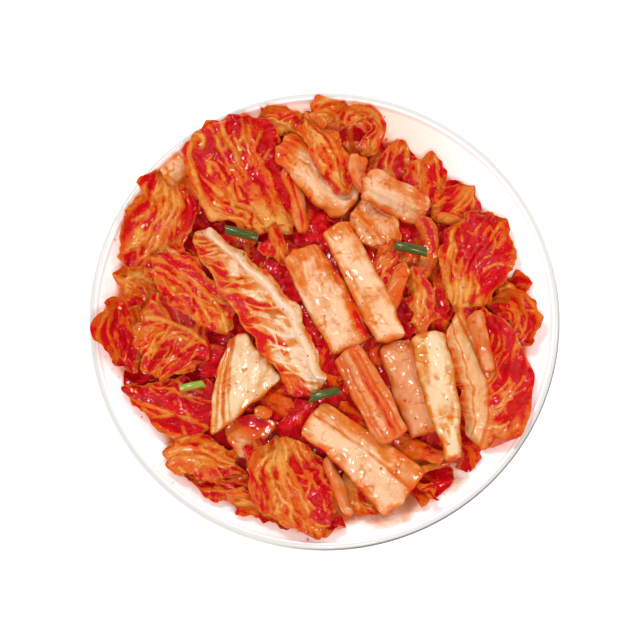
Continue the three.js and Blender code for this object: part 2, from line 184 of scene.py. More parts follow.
# %% Maps of the heap
CELL = 0.5  # side of a cell
HALF = 92  # half the side of a map, which is more than the plate's radius
SIDE = int(2 * HALF / CELL) + 1


def cell_of(x, y):
    column = np.clip(np.rint((x + HALF) / CELL).astype(int), 1, SIDE - 2)
    row = np.clip(np.rint((y + HALF) / CELL).astype(int), 1, SIDE - 2)
    return row, column


def spread_min(field):
    for axis in (0, 1):
        field = np.minimum(field, np.minimum(np.roll(field, 1, axis), np.roll(field, -1, axis)))
    return field


def draw_map(x, y, z, lowest):
    field = np.full((SIDE, SIDE), np.inf if lowest else -np.inf)
    (np.minimum if lowest else np.maximum).at(field, cell_of(x, y), z)
    return field


undersides = {name: spread_min(spread_min(draw_map(s["x"], s["y"], s["under"], True)))
              for name, s in sheets.items()}


def ceiling_over(name):
    """The lowest thing over each point of a piece."""
    sheet = sheets[name]
    cells = cell_of(sheet["x"], sheet["y"])
    middle = (sheet["top"] + sheet["under"]) / 2
    lowest = np.full(middle.shape, np.inf)
    for other, field in undersides.items():
        height = field[cells]
        if other != name:
            lowest = np.where(height > middle, np.minimum(lowest, height), lowest)
    return lowest


covered = [name for name in PIECES if np.isfinite(ceiling_over(name)).any()]
print("pieces with something over them:", len(covered))

# %% [markdown]
# The larger pieces here have tens of thousands of faces each, and filling the mesh arrays in one go is
# far quicker than adding faces one by one. What the surface knows about itself, such as how much sauce
# it holds, is stored point by point as an attribute, and the materials turn it into colour.

# %% Build meshes from arrays
def add_mesh(name, points, faces, marks):
    mesh = bpy.data.meshes.new(name)
    faces = np.asarray(faces)
    mesh.vertices.add(len(points))
    mesh.vertices.foreach_set("co", (np.asarray(points) * MM).ravel())
    mesh.loops.add(faces.size)
    mesh.loops.foreach_set("vertex_index", faces.ravel())
    mesh.polygons.add(len(faces))
    mesh.polygons.foreach_set("loop_start", np.arange(len(faces)) * faces.shape[1])
    mesh.polygons.foreach_set("use_smooth", np.ones(len(faces), bool))
    for mark, values in marks.items():
        mesh.attributes.new(mark, "FLOAT", "POINT").data.foreach_set("value", np.ravel(values))
    mesh.update(calc_edges=True)
    mesh.validate()
    piece = bpy.data.objects.new(name, mesh)
    bpy.context.scene.collection.objects.link(piece)
    return piece


# %% [markdown]
# A shell's faces follow one pattern: a grid of four-sided faces above, the same grid turned over
# below, and a wall all the way round. A finished piece then gets its material, sharp edges where it
# was cut, and its place in the frame: the body it rides on, and the node that it replaces.

# %% Faces of a shell, and the finish of a piece
def shell_faces(rows, columns):
    index = np.arange(rows * columns).reshape(rows, columns)
    low = index + rows * columns
    upper = np.stack([index[:-1, :-1], index[1:, :-1], index[1:, 1:], index[:-1, 1:]], -1)
    lower = np.stack([low[:-1, :-1], low[:-1, 1:], low[1:, 1:], low[1:, :-1]], -1)
    rim = np.concatenate([index[:-1, 0], index[-1, :-1], index[:0:-1, -1], index[0, :0:-1]])
    ahead = np.roll(rim, -1)
    wall = np.stack([rim, rim + rows * columns, ahead + rows * columns, ahead], -1)
    return np.concatenate([upper.reshape(-1, 4), lower.reshape(-1, 4), wall])


def shell_points(x, y, top, under):
    return np.concatenate([np.stack([x, y, z], -1).reshape(-1, 3) for z in (top, under)])


def finish_piece(piece, node, material, crease=50):
    piece.data.materials.append(material)
    piece.data.set_sharp_from_angle(angle=math.radians(crease))
    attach(piece, "root")
    if node:
        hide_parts(node)


print("faces of a shell of 3 by 4 points:", len(shell_faces(3, 4)))

# %% [markdown]
# Shader trees are built in code here, so a few short helpers keep them readable. Each adds one node
# and returns the socket that comes out of it. Where a helper is given a socket it links it, and where
# it is given a number or colour it sets it. Colours are written as hex codes and turned linear.

# %% Small helpers for shader nodes
def colour(code):
    parts = [int(code[k:k + 2], 16) / 255 for k in (0, 2, 4)]
    linear = [p / 12.92 if p <= 0.04045 else ((p + 0.055) / 1.055) ** 2.4 for p in parts]
    return (*linear, 1)


def set_inputs(made, sockets):
    for key, value in sockets.items():
        if isinstance(value, bpy.types.NodeSocket):
            made.id_data.links.new(value, made.inputs[key])
        else:
            made.inputs[key].default_value = value


def add_node(tree, kind, sockets=None, **settings):
    made = tree.nodes.new(kind)
    for key, value in settings.items():
        setattr(made, key, value)
    set_inputs(made, sockets or {})
    return made


def mix(tree, factor, first, second):
    made = add_node(tree, "ShaderNodeMix", {0: factor, 6: first, 7: second}, data_type="RGBA")
    return made.outputs[2]


def math_node(tree, operation, first, second=0.0):
    return add_node(tree, "ShaderNodeMath", {0: first, 1: second}, operation=operation).outputs[0]


def ramp(tree, value, low, high):
    sockets = {"Value": value, "From Min": low, "From Max": high}
    return add_node(tree, "ShaderNodeMapRange", sockets, interpolation_type="SMOOTHSTEP").outputs[0]


def place(tree):
    """Coordinates on the object in metres, so that noise keeps one true size on every piece."""
    return add_node(tree, "ShaderNodeTexCoord").outputs["Object"]


def mark_node(tree, mark):
    """What the mesh says about itself, such as the amount of sauce at each point."""
    return add_node(tree, "ShaderNodeAttribute", attribute_name=mark).outputs["Fac"]


def noise_node(tree, vector, scale, detail=2.0):
    sockets = {"Vector": vector, "Scale": scale, "Detail": detail}
    return add_node(tree, "ShaderNodeTexNoise", sockets).outputs["Fac"]


print("a middle grey, made linear:", np.round(colour("808080"), 3).tolist())

# %% [markdown]
# An effect that more than one material uses is a node group: a small tree with named inputs and
# outputs, built once and placed in each material with that material's own values. One helper makes an
# empty group with its sockets, and one places it.

# %% Helpers for node groups
FLOAT, COLOUR = "NodeSocketFloat", "NodeSocketColor"


def new_group(name, takes, gives):
    group = bpy.data.node_groups.new(name, "ShaderNodeTree")
    for label, kind, value in takes:
        group.interface.new_socket(label, in_out="INPUT", socket_type=kind).default_value = value
    for label, kind in gives:
        group.interface.new_socket(label, in_out="OUTPUT", socket_type=kind)
    return group, group.nodes.new("NodeGroupInput").outputs, group.nodes.new("NodeGroupOutput").inputs


def use_group(tree, group, sockets):
    return add_node(tree, "ShaderNodeGroup", sockets, node_tree=group).outputs


print("node groups so far:", len(bpy.data.node_groups))

# %% [markdown]
# Kimchi has one colour story: pale salted flesh, which turns orange where the sauce has soaked in and
# deep red where it lies thick. It could be painted piece by piece, but one shader group tells it for
# every leaf and stem. It takes the amount of sauce stored on the mesh, breaks it up with fine noise,
# and runs it through five colours. Three of them are inputs, because a cream stem, a salmon one and a
# soaked leaf differ there.

# %% The sauce group
ORANGE, RED, DEEP = colour("dc560c"), colour("cf0b16"), colour("bc0812")


def make_sauce_group():
    group, takes, gives = new_group(
        "sauce_on_cabbage",
        [("Sauce", FLOAT, 0.5), ("Grain", FLOAT, 0.4), ("Pale", COLOUR, colour("f4dcb2")),
         ("Warm", COLOUR, colour("eda877")), ("Red", COLOUR, RED)],
        [("Color", COLOUR), ("Film", FLOAT)])
    where = place(group)
    fine = math_node(group, "MULTIPLY", math_node(
        group, "SUBTRACT", noise_node(group, where, 900.0, 3.0), 0.5), takes["Grain"])
    broad = math_node(group, "MULTIPLY", math_node(
        group, "SUBTRACT", noise_node(group, where, 260.0), 0.5), takes["Grain"])
    amount = math_node(group, "ADD", takes["Sauce"], math_node(group, "ADD", fine, broad))
    shade = mix(group, ramp(group, amount, 0.02, 0.36), takes["Pale"], takes["Warm"])
    shade = mix(group, ramp(group, amount, 0.3, 0.56), shade, ORANGE)
    shade = mix(group, ramp(group, amount, 0.55, 0.7), shade, takes["Red"])
    shade = mix(group, ramp(group, amount, 0.9, 1.25), shade, DEEP)
    group.links.new(shade, gives["Color"])
    group.links.new(ramp(group, amount, 0.35, 0.85), gives["Film"])
    return group


SAUCE_GROUP = make_sauce_group()
print("sauce group:", len(SAUCE_GROUP.nodes), "nodes")

# %% [markdown]
# The finest chili is a dust of specks, far too many to model one by one. They are a Voronoi pattern in
# which chance picks the cells that hold a dot, and how large it is. Fibres run along each piece, so
# their noise is read from the piece's own along and across, stored on the mesh in millimetres, and
# stretched many times one way.

# %% The speck and fibre groups
def make_speck_group():
    group, takes, gives = new_group(
        "chili_specks", [("Scale", FLOAT, 420.0), ("Share", FLOAT, 0.2), ("Size", FLOAT, 0.2)],
        [("Mask", FLOAT)])
    cells = add_node(group, "ShaderNodeTexVoronoi", {"Vector": place(group), "Scale": takes["Scale"]})
    chance = add_node(group, "ShaderNodeSeparateColor", {"Color": cells.outputs["Color"]}).outputs
    reach = math_node(group, "MULTIPLY", takes["Size"], math_node(group, "ADD", chance[1], 0.25))
    dot = math_node(group, "LESS_THAN", cells.outputs["Distance"], reach)
    held = math_node(group, "LESS_THAN", chance[0], takes["Share"])
    group.links.new(math_node(group, "MULTIPLY", dot, held), gives["Mask"])
    return group


def make_fibre_group():
    group, takes, gives = new_group(
        "wet_fibres", [("Fibre", FLOAT, 0.5), ("Crumple", FLOAT, 0.5), ("Crumple Scale", FLOAT, 500.0)],
        [("Height", FLOAT), ("Streak", FLOAT)])
    flow = add_node(group, "ShaderNodeCombineXYZ", {
        0: math_node(group, "MULTIPLY", mark_node(group, "across"), 1.6),
        1: math_node(group, "MULTIPLY", mark_node(group, "along"), 0.12)})
    streak = noise_node(group, flow.outputs[0], 1.0, 3.0)
    crumple = noise_node(group, place(group), takes["Crumple Scale"], 2.0)
    height = math_node(group, "ADD", math_node(group, "MULTIPLY", streak, takes["Fibre"]),
                       math_node(group, "MULTIPLY", crumple, takes["Crumple"]))
    group.links.new(height, gives["Height"])
    group.links.new(streak, gives["Streak"])
    return group


SPECK_GROUP, FIBRE_GROUP = make_speck_group(), make_fibre_group()
print("speck group:", len(SPECK_GROUP.nodes), "nodes, fibre group:", len(FIBRE_GROUP.nodes))

# %% [markdown]
# Brine lies on everything as a thin clear film, but not evenly: it has drained off in patches. This
# group says how much film there is, and every cabbage material feeds it to the weight of its coat.

# %% The brine group
def make_brine_group():
    group, takes, gives = new_group(
        "brine_patches", [("Scale", FLOAT, 75.0), ("Least", FLOAT, 0.3)], [("Cover", FLOAT)])
    cover = add_node(group, "ShaderNodeMapRange", {
        "Value": noise_node(group, place(group), takes["Scale"]), "From Min": 0.42, "From Max": 0.58,
        "To Min": 1.0, "To Max": takes["Least"]})
    group.links.new(cover.outputs[0], gives["Cover"])
    return group


BRINE_GROUP = make_brine_group()
print("brine group:", len(BRINE_GROUP.nodes), "nodes")

# %% [markdown]
# Leaves and stems differ in colour, and in how fine their surface is: a leaf is crumpled finer than a
# stem, and so is the film of brine on it. Each skin is one row of values here, by the name of its slot
# in the frame. The colours are those of bare flesh, flesh that the sauce has warmed, and thick sauce.
# `wet` is how much light spreads in the flesh, and `film` how fine the waves of the film are.

# %% Skins by name
FINE = {"grain": 0.4, "fibre": 0.6, "crumple": 0.9, "size": 620.0, "bump": 0.75, "specks": 0.1,
        "wet": 0.3, "film": 420.0, "red": "cf0b16"}
TENDER = FINE | {"grain": 0.3, "fibre": 0.5, "crumple": 0.6, "size": 520.0, "bump": 0.7,
                 "specks": 0.08, "wet": 0.4, "film": 350.0}
FIRM = FINE | {"grain": 0.2, "fibre": 0.5, "crumple": 0.4, "size": 330.0, "bump": 0.3,
               "specks": 0.05, "wet": 0.8, "film": 250.0}
SKINS = {
    "leaf_red": FINE | {"pale": "e6983e", "warm": "d8691a"},
    "leaf_orange": FINE | {"pale": "e79e48", "warm": "da701e"},
    "leaf_peach": TENDER | {"pale": "ecb880", "warm": "de8030"},
    "leaf_pale": TENDER | {"pale": "f0ceac", "warm": "df9040"},
    "stem_salmon": FIRM | {"pale": "e6a678", "warm": "d87630", "size": 380.0},
    "stem_pale": FIRM | {"pale": "f0c59c", "warm": "dc7c26"},
    "stem_cream": FIRM | {"pale": "efcfa6", "warm": "d88626"},
    "sauce_bed": FINE | {"pale": "e5772e", "warm": "dc5214", "fibre": 0.5, "crumple": 0.8,
                         "size": 560.0, "red": "d20c18"},
}
print("skins:", list(SKINS))

# %% [markdown]
# Salted cabbage is full of water: light enters it and spreads a millimetre or two before it leaves,
# so the flesh needs subsurface scattering. Over it lies the film of brine, which is the shader's coat
# with waves of its own: small sharp glints on a duller body. One function builds every skin from its
# row, out of the four groups.

# %% Cabbage materials
def make_material(name):
    material = bpy.data.materials.new(name)
    material.use_nodes = True
    tree = material.node_tree
    tree.nodes.clear()
    body = tree.nodes.new("ShaderNodeBsdfPrincipled")
    out = tree.nodes.new("ShaderNodeOutputMaterial")
    tree.links.new(body.outputs[0], out.inputs[0])
    return material, tree, body


def cabbage(name, skin):
    material, tree, body = make_material(name)
    fibres = use_group(tree, FIBRE_GROUP, {
        "Fibre": skin["fibre"], "Crumple": skin["crumple"], "Crumple Scale": skin["size"]})
    streaks = math_node(tree, "SUBTRACT", fibres["Streak"], 0.5)
    streaked = math_node(tree, "ADD", mark_node(tree, "sauce"), math_node(
        tree, "MULTIPLY", streaks, 0.7 * skin["grain"]))
    stain = use_group(tree, SAUCE_GROUP, {
        "Sauce": streaked, "Grain": skin["grain"], "Pale": colour(skin["pale"]),
        "Warm": colour(skin["warm"]), "Red": colour(skin["red"])})
    aged = mix(tree, mark_node(tree, "spot"), stain["Color"], colour("cc7a1c"))
    dots = use_group(tree, SPECK_GROUP, {"Scale": 520.0, "Share": skin["specks"], "Size": 0.22})
    relief = add_node(tree, "ShaderNodeBump", {
        "Height": fibres["Height"], "Strength": skin["bump"], "Distance": 0.0009})
    film = add_node(tree, "ShaderNodeBump", {
        "Height": noise_node(tree, place(tree), skin["film"], 0.7), "Strength": 1.0,
        "Distance": 0.15 / skin["film"]})
    rough = add_node(tree, "ShaderNodeMapRange", {"Value": stain["Film"], "To Min": 0.5, "To Max": 0.4})
    brine = use_group(tree, BRINE_GROUP, {})
    set_inputs(body, {
        "Base Color": mix(tree, dots["Mask"], aged, colour("d0380e")), "Roughness": rough.outputs[0],
        "Normal": relief.outputs[0], "Coat Normal": film.outputs[0], "Coat Weight": brine["Cover"],
        "Coat IOR": 1.46, "Coat Roughness": 0.11, "Specular IOR Level": 0.05,
        "Subsurface Weight": skin["wet"], "Subsurface Radius": (1.0, 0.35, 0.15),
        "Subsurface Scale": 0.002})
    return material


MATERIALS = {name: cabbage(name, skin) for name, skin in SKINS.items()}
print("cabbage materials:", list(MATERIALS))

# %% [markdown]
# What makes each piece itself is written down once, by name. Lengths are in mm, and places are shares:
# along from 0 at one end to 1, and across from -1 to 1 at the margins. Sauce runs from 0, bare flesh,
# over 0.5, soaked orange, to 1, thick and red.
#
# * `veins` is how they branch, `count` how many there are, `vein` how thick they are, `pale` how bare
#   of sauce they stay, and `lean` moves their root to one side
# * `sauce` is how much the piece holds, `spread` how streaky it is, and `edge` how much is at a cut
# * `fold`, `blister`, `ruffle` and `dome` are how deep it folds, blisters, waves at the margins and
#   bulges; `corner`, `lobe` and `grow` round its corners, wave its outline and widen it
# * a patch is (along, across, radius along, radius across, sauce to add), and a spot is the same with
#   the strength of a brown stain
# * a groove runs lengthwise: (across, half width, depth, sauce to add)
# * a rib is the thick pale midrib: (across, half width, sauce in its middle)

# %% How each leaf looks
LEAF = {"veins": "fan", "count": 4, "vein": 0.9, "pale": 0.34, "sauce": 0.74, "spread": 0.34,
        "fold": 2.6, "blister": 1.1, "ruffle": 1.5, "corner": 0.65, "lobe": 3.0, "edge": 0.46,
        "rib": None, "grooves": (), "patches": (), "spots": (), "dome": 0.0, "grow": 1.08,
        "lean": 0.0, "stem": False}
RIBBED, TWIGGY = LEAF | {"veins": "along", "count": 3}, LEAF | {"veins": "feather"}
BIT = LEAF | {"count": 2}

LOOKS = {
    "leaf_back_left_fan": LEAF | {
        "count": 6, "vein": 2.2, "pale": 0.42, "sauce": 0.86, "fold": 2.0, "lean": 0.42,
        "patches": ((0.5, -0.3, 0.28, 0.42, 0.4), (0.93, 0.1, 0.1, 0.6, -0.12),
                    (0.4, 0.9, 0.5, 0.3, -0.22), (0.05, 0, 0.12, 1, -0.3))},
    "leaf_diagonal": TWIGGY | {
        "count": 12, "lobe": 0.8, "vein": 0.6, "pale": 0.3, "sauce": 0.47, "rib": (0.7, 2.1, 0.02),
        "fold": 0.9, "corner": 0.5, "skin": "leaf_pale",
        "patches": ((0.8, 0.1, 0.25, 0.9, -0.25), (0.25, -0.6, 0.26, 0.5, 0.3),
                    (0.62, -0.95, 0.3, 0.25, 0.35), (0.65, 1, 0.4, 0.25, -0.2)),
        "spots": ((0.57, 0.1, 0.025, 0.14, 0.9), (0.3, 0.4, 0.03, 0.1, 0.5))},
    "leaf_left_back": LEAF | {
        "vein": 1.3, "pale": 0.3, "sauce": 0.58, "fold": 2.2,
        "patches": ((0.3, 0.95, 0.24, 0.4, 0.6), (0.85, 0.3, 0.12, 0.6, 0.2))},
    "leaf_left_edge": LEAF | {"count": 3, "sauce": 0.58, "pale": 0.3},
    "leaf_left_curled": LEAF | {
        "sauce": 0.70, "patches": ((0.14, 0.0, 0.16, 0.5, 0.45), (0.6, -0.1, 0.2, 0.5, 0.5),
                                   (0.4, -1, 0.8, 0.25, -0.2))},
    "leaf_left_ruffled": TWIGGY | {
        "count": 6, "rib": (0.45, 1.1, 0.22), "sauce": 0.72,
        "patches": ((0.7, 0.75, 0.3, 0.4, 0.25), (0.5, -0.98, 0.7, 0.14, -0.3),
                    (0.3, 0, 0.3, 0.5, -0.12))},
    "leaf_left_diagonal": RIBBED | {
        "sauce": 0.68, "patches": ((0.95, 0.0, 0.12, 0.8, -0.34), (0.4, 0.6, 0.3, 0.3, 0.25))},
    "bit_left_ruffled": BIT | {"sauce": 0.53},
    "leaf_front_folded": LEAF | {
        "count": 5, "vein": 1.4, "pale": 0.36, "sauce": 0.70, "fold": 2.2,
        "patches": ((0.08, -0.2, 0.14, 0.6, -0.3), (0.5, 0.6, 0.3, 0.3, 0.4),
                    (0.45, -0.8, 0.3, 0.3, -0.2))},
    "leaf_front_left_dark": RIBBED | {
        "pale": 0.35, "sauce": 0.98, "patches": ((0.6, -0.95, 0.7, 0.2, -0.5),)},
    "leaf_front_left_red": LEAF | {
        "count": 3, "sauce": 0.86, "patches": ((0.4, -1, 0.6, 0.4, -0.35),)},
    "lump_front_dark": BIT | {"sauce": 1.05, "pale": 0.2},
    "leaf_front_under": RIBBED | {"sauce": 0.64},
    "leaf_front_right_low": LEAF | {"count": 3, "sauce": 0.63},
    "leaf_back_right_a": LEAF | {
        "count": 3, "vein": 1.3, "sauce": 0.92, "pale": 0.4, "patches": ((0.02, 0, 0.1, 1, -0.3),)},
    "leaf_back_right_b": LEAF | {
        "count": 3, "vein": 1.2, "sauce": 0.90, "pale": 0.36, "patches": ((0.02, 0, 0.12, 1, -0.3),)},
    "leaf_back_right_c": LEAF | {"sauce": 0.86, "patches": ((0.02, 0, 0.15, 1, -0.28),)},
    "leaf_back_far": LEAF | {"count": 3, "sauce": 0.58, "pale": 0.3},
    "bit_back": LEAF | {"count": 3, "sauce": 0.58, "pale": 0.3},
    "leaf_back_ribbed": RIBBED | {"vein": 1.3, "sauce": 0.68},
    "curl_back": RIBBED | {"count": 2, "sauce": 0.63, "pale": 0.35, "lobe": 0.7},
    "curl_right_edge": LEAF | {"count": 3, "sauce": 0.90, "patches": ((0.5, 1, 0.7, 0.35, -0.42),)},
    "curl_front_right": BIT | {"sauce": 0.90},
    "leaf_right_big": TWIGGY | {
        "count": 7, "vein": 1.0, "pale": 0.3, "sauce": 0.66, "rib": (-0.55, 5.5, 0.1),
        "skin": "leaf_peach", "fold": 2.0, "blister": 1.6, "lobe": 0.5,
        "grooves": ((-0.2, 0.6, 0.5, 0.3), (-0.68, 0.45, 0.4, 0.25)),
        "patches": ((0.45, 0.45, 0.34, 0.42, 0.22), (0.97, 0, 0.12, 1, -0.35),
                    (0.12, 0.8, 0.16, 0.4, 0.3), (0.08, -0.5, 0.1, 0.6, 0.15))},
    "leaf_right_curled": LEAF | {
        "vein": 1.5, "pale": 0.4, "fold": 2.0,
        "patches": ((0.6, 0.1, 0.26, 0.45, 0.6), (0.12, 0, 0.16, 1, -0.3),
                    (0.35, 0.8, 0.3, 0.35, -0.2))},
    "leaf_right_gap": LEAF | {"count": 3, "sauce": 0.76},
    "leaf_right_narrow": RIBBED | {"count": 2, "ruffle": 0.6},
    "knob_centre_left": BIT | {"sauce": 0.66, "pale": 0.15, "blister": 1.4},
    "strips_front_left": RIBBED | {"vein": 1.5, "pale": 0.3, "sauce": 0.64},
}
print("leaves in the table:", len(LOOKS))

# %% [markdown]
# Stems are the thick cuts from near the root. They have no branching veins, hold little sauce except
# at their cut margins, and keep square corners. Strips are narrow cuts of the same flesh, and the soft
# ones come from where the stem turns into leaf, with a few veins that run lengthwise.

# %% How each stem and strip looks
STEM = LEAF | {
    "veins": None, "count": 0, "vein": 0.0, "pale": 0.0, "sauce": 0.05, "spread": 0.2, "fold": 0.8,
    "blister": 0.3, "ruffle": 0.0, "corner": 0.22, "lobe": 0.6, "dome": 0.7, "grow": 1.0, "stem": True}
STRIP = STEM | {"sauce": 0.3, "spread": 0.3, "corner": 0.5, "lobe": 0.8}
SOFT = STRIP | {"veins": "along", "count": 3, "vein": 1.4, "sauce": 0.34, "fold": 1.4, "lobe": 1.2,
                "corner": 0.6, "grow": 1.06}

LOOKS |= {
    "piece_back_lower": SOFT | {
        "sauce": 0.2, "skin": "stem_pale", "grow": 1.35, "grooves": ((-0.3, 1.0, 0.5, 0.2),)},
    "piece_back_broad": SOFT | {
        "sauce": 0.12, "skin": "stem_pale", "grow": 1.3, "patches": ((0.9, 0.5, 0.25, 0.5, 0.35),)},
    "piece_front_left_clear": STRIP | {
        "patches": ((0.12, 0, 0.2, 1, 0.5), (0.7, 0, 0.25, 0.8, -0.16))},
    "chip_left_back": STRIP | {"sauce": 0.18},
    "bit_front_left": STRIP | {"sauce": 0.5},
    "tip_front_right": STRIP | {"sauce": 0.6},
    "strip_front_right_short": STRIP,
    "strip_front_right_long": STRIP | {"sauce": 0.5},
    "strip_front_pale": STRIP | {"sauce": 0.14},
    "strip_back_short": STRIP | {"grooves": ((0.0, 0.6, 0.4, 0.4),)},
    "strip_back_right": STRIP,
    "strip_right_curved": STRIP | {"sauce": 0.48, "grooves": ((0.2, 0.7, 0.4, 0.3),)},
    "strip_right_clear": STRIP,
    "strip_right_pink": STRIP | {"sauce": 0.16},
    "stem_back_curved": SOFT | {"sauce": 0.32},
    "stem_back_peach": SOFT | {
        "sauce": 0.14, "lobe": 1.5, "grow": 1.15,
        "patches": ((0.08, 0, 0.14, 1, 0.45), (0.5, 0.9, 0.5, 0.3, 0.35))},
    "stem_right_salmon": STEM | {"sauce": 0.1, "spread": 0.1, "dome": 1.3},
    "stem_centre_clear": STEM | {
        "sauce": 0.08, "spread": 0.22, "fold": 0.9, "blister": 1.1,
        "patches": ((0.92, 0.9, 0.16, 0.4, 0.6), (0.08, -0.3, 0.2, 0.9, 0.35),
                    (0.45, 1, 0.6, 0.4, 0.6))},
    "stem_left_pale": STEM | {
        "dome": 0.6, "spots": ((0.5, 0.1, 0.04, 0.14, 0.7), (0.8, 0.5, 0.05, 0.1, 0.3)),
        "grooves": ((-0.62, 0.8, 0.7, 0.4), (-0.82, 0.7, 0.6, 0.3), (-0.45, 0.5, 0.3, 0.2))},
    "stem_front_pale": STEM | {
        "patches": ((0.5, 0.75, 0.9, 0.4, 0.3),), "grooves": ((0.2, 0.7, 0.6, 0.2),),
        "spots": ((0.55, -0.1, 0.04, 0.12, 0.35), (0.8, 0.1, 0.05, 0.1, 0.3))},
    "stem_strip_pair": STEM | {
        "sauce": 0.16, "grooves": ((0.15, 1.1, 1.0, 0.5), (0.5, 0.6, 0.4, 0.4),
                                   (-0.5, 0.5, 0.3, 0.3), (-0.75, 0.5, 0.3, 0.3))},
    "stem_right_yellow": STEM | {
        "spread": 0.34, "dome": 1.8,
        "spots": ((0.88, -0.5, 0.03, 0.16, 0.8), (0.75, -0.4, 0.03, 0.1, 0.6),
                  (0.6, 0.5, 0.06, 0.12, 0.5), (0.3, 0.6, 0.04, 0.2, 0.6),
                  (0.5, 0.1, 0.03, 0.1, 0.4))},
    "stem_centre_top": STEM | {
        "patches": ((0.02, 0, 0.08, 1, 0.3),), "grooves": ((-0.55, 0.7, 0.3, 0.15),),
        "spots": ((0.62, -0.3, 0.05, 0.2, 0.5), (0.04, 0.1, 0.05, 0.5, 0.4))},
}
print("looks:", len(LOOKS), "without one:", [name for name in PIECES if name not in LOOKS])

# %% [markdown]
# Veins branch the way they grow: a few thick ones leave the root or the midrib, and thinner ones
# leave those at a sharp angle. Each is a stroke from one place to another that tapers. Later they are
# read from warped coordinates, which bends them all a little, so that none is straight.

# %% Vein strokes
def add_branches(strokes, rng, stroke, levels):
    strokes.append(stroke)
    (across0, along0), (across1, along1), thick0, thick1 = stroke
    long = math.hypot(across1 - across0, along1 - along0)
    if not levels or long < 5:
        return
    heading = math.atan2(across1 - across0, along1 - along0)
    side = rng.choice([-1, 1])
    for share in np.arange(0.2, 0.85, 10 / long) + rng.uniform(-0.06, 0.06):
        turn = heading + side * rng.uniform(0.25, 0.5)
        reach = rng.uniform(8, 15) * (1.15 - share * 0.5)
        start = (across0 + share * (across1 - across0), along0 + share * (along1 - along0))
        end = (start[0] + reach * math.sin(turn), start[1] + reach * math.cos(turn))
        thick = 0.68 * (thick0 + share * (thick1 - thick0))
        add_branches(strokes, rng, (start, end, thick, 0.6), levels - 1)
        side = -side


def vein_strokes(look, rng, length, half):
    strokes = []
    count, thick = look["count"], look["vein"]
    if look["veins"] == "feather":
        rib = look["rib"][0] * half
        for k in range(count):
            for side in (-1, 1):
                start = (rib, length * (k + 0.7 + rng.uniform(-0.2, 0.2)) / count)
                turn = rng.uniform(0.6, 0.85)
                reach = abs(side * half - rib) * rng.uniform(0.8, 1.0) / math.sin(turn)
                end = (start[0] + side * reach * math.sin(turn), start[1] - reach * math.cos(turn))
                add_branches(strokes, rng, (start, end, thick, 0.4), 1)
        return strokes
    for k in range(count):
        spot = (2 * k + 1) / count - 1 + rng.uniform(-0.5, 0.5) / count
        root = spot * (0.35 if look["veins"] == "fan" else 0.9) + look["lean"]
        stroke = ((root * half, -2), (spot * half, length * rng.uniform(0.8, 1.05)), thick,
                  max(0.8, 0.5 * thick))
        add_branches(strokes, rng, stroke, 1)
    return strokes


big_leaf = LOOKS["leaf_right_big"]
strokes = vein_strokes(big_leaf, np.random.default_rng(1), 60, 20)
print("strokes in the big leaf:", len(strokes))

# %% [markdown]
# The distance from each point to the nearest stroke gives both the ridge and the pale line on it. The
# grain is a pair of coordinates that run beside and along the veins, whichever way they branch, so
# that folds and streaks can follow them.

# %% Ridges and grain
def draw_veins(strokes, across, along):
    """How far the veins stand out, in mm, and how much of each point they cover."""
    ridge, cover = np.zeros(across.shape), np.zeros(across.shape)
    for k, ((across0, along0), (across1, along1), thick0, thick1) in enumerate(strokes):
        step = (across1 - across0, along1 - along0)
        square = step[0] ** 2 + step[1] ** 2
        share = np.clip(((across - across0) * step[0] + (along - along0) * step[1]) / square, 0, 1)
        bow = (0.1 if k % 2 else -0.1) * 4 * share * (1 - share)
        away = np.hypot(across - across0 - share * step[0] + bow * step[1],
                        along - along0 - share * step[1] - bow * step[0])
        thick = thick0 + share * (thick1 - thick0)
        ridge = np.maximum(ridge, thick * np.sqrt(np.maximum(0, 1 - (away / thick) ** 2))
                           + 0.35 * thick * np.exp(-(away / thick / 2) ** 2))
        cover = np.maximum(cover, fade(away / thick, 1.6, 0.35))
    return ridge, cover


def grain_of(look, across, along, length, half):
    """Coordinates beside and along the veins, in mm, which folds and streaks follow."""
    if look["veins"] == "fan":
        return across / (0.35 + 0.65 * np.clip(along / length, 0, 1)), along
    if look["veins"] == "feather":
        off = np.abs(across - look["rib"][0] * half)
        return 0.7 * (along + off), off
    return across, along


ridge, cover = draw_veins(strokes, *np.mgrid[-20:20, 0:60].astype(float))
print("veins cover", round(cover.mean(), 2), "of it and are up to", round(ridge.max(), 1), "mm high")

# %% [markdown]
# A leaf could be sculpted by hand or dropped as cloth. Sums on arrays are quicker for fifty of them,
# keep each one in the space that the frame gives it, and come out the same every time. Every piece is
# worked out on its own sheet of points, in five steps. The first lays out where its points are.
# Nothing torn or chopped off a leaf has straight sides, so the ends get round corners, and noise along
# each margin gives it bays and lobes. The bent coordinates are the plain ones pushed about by noise:
# all that is drawn with them wanders as if it had grown.

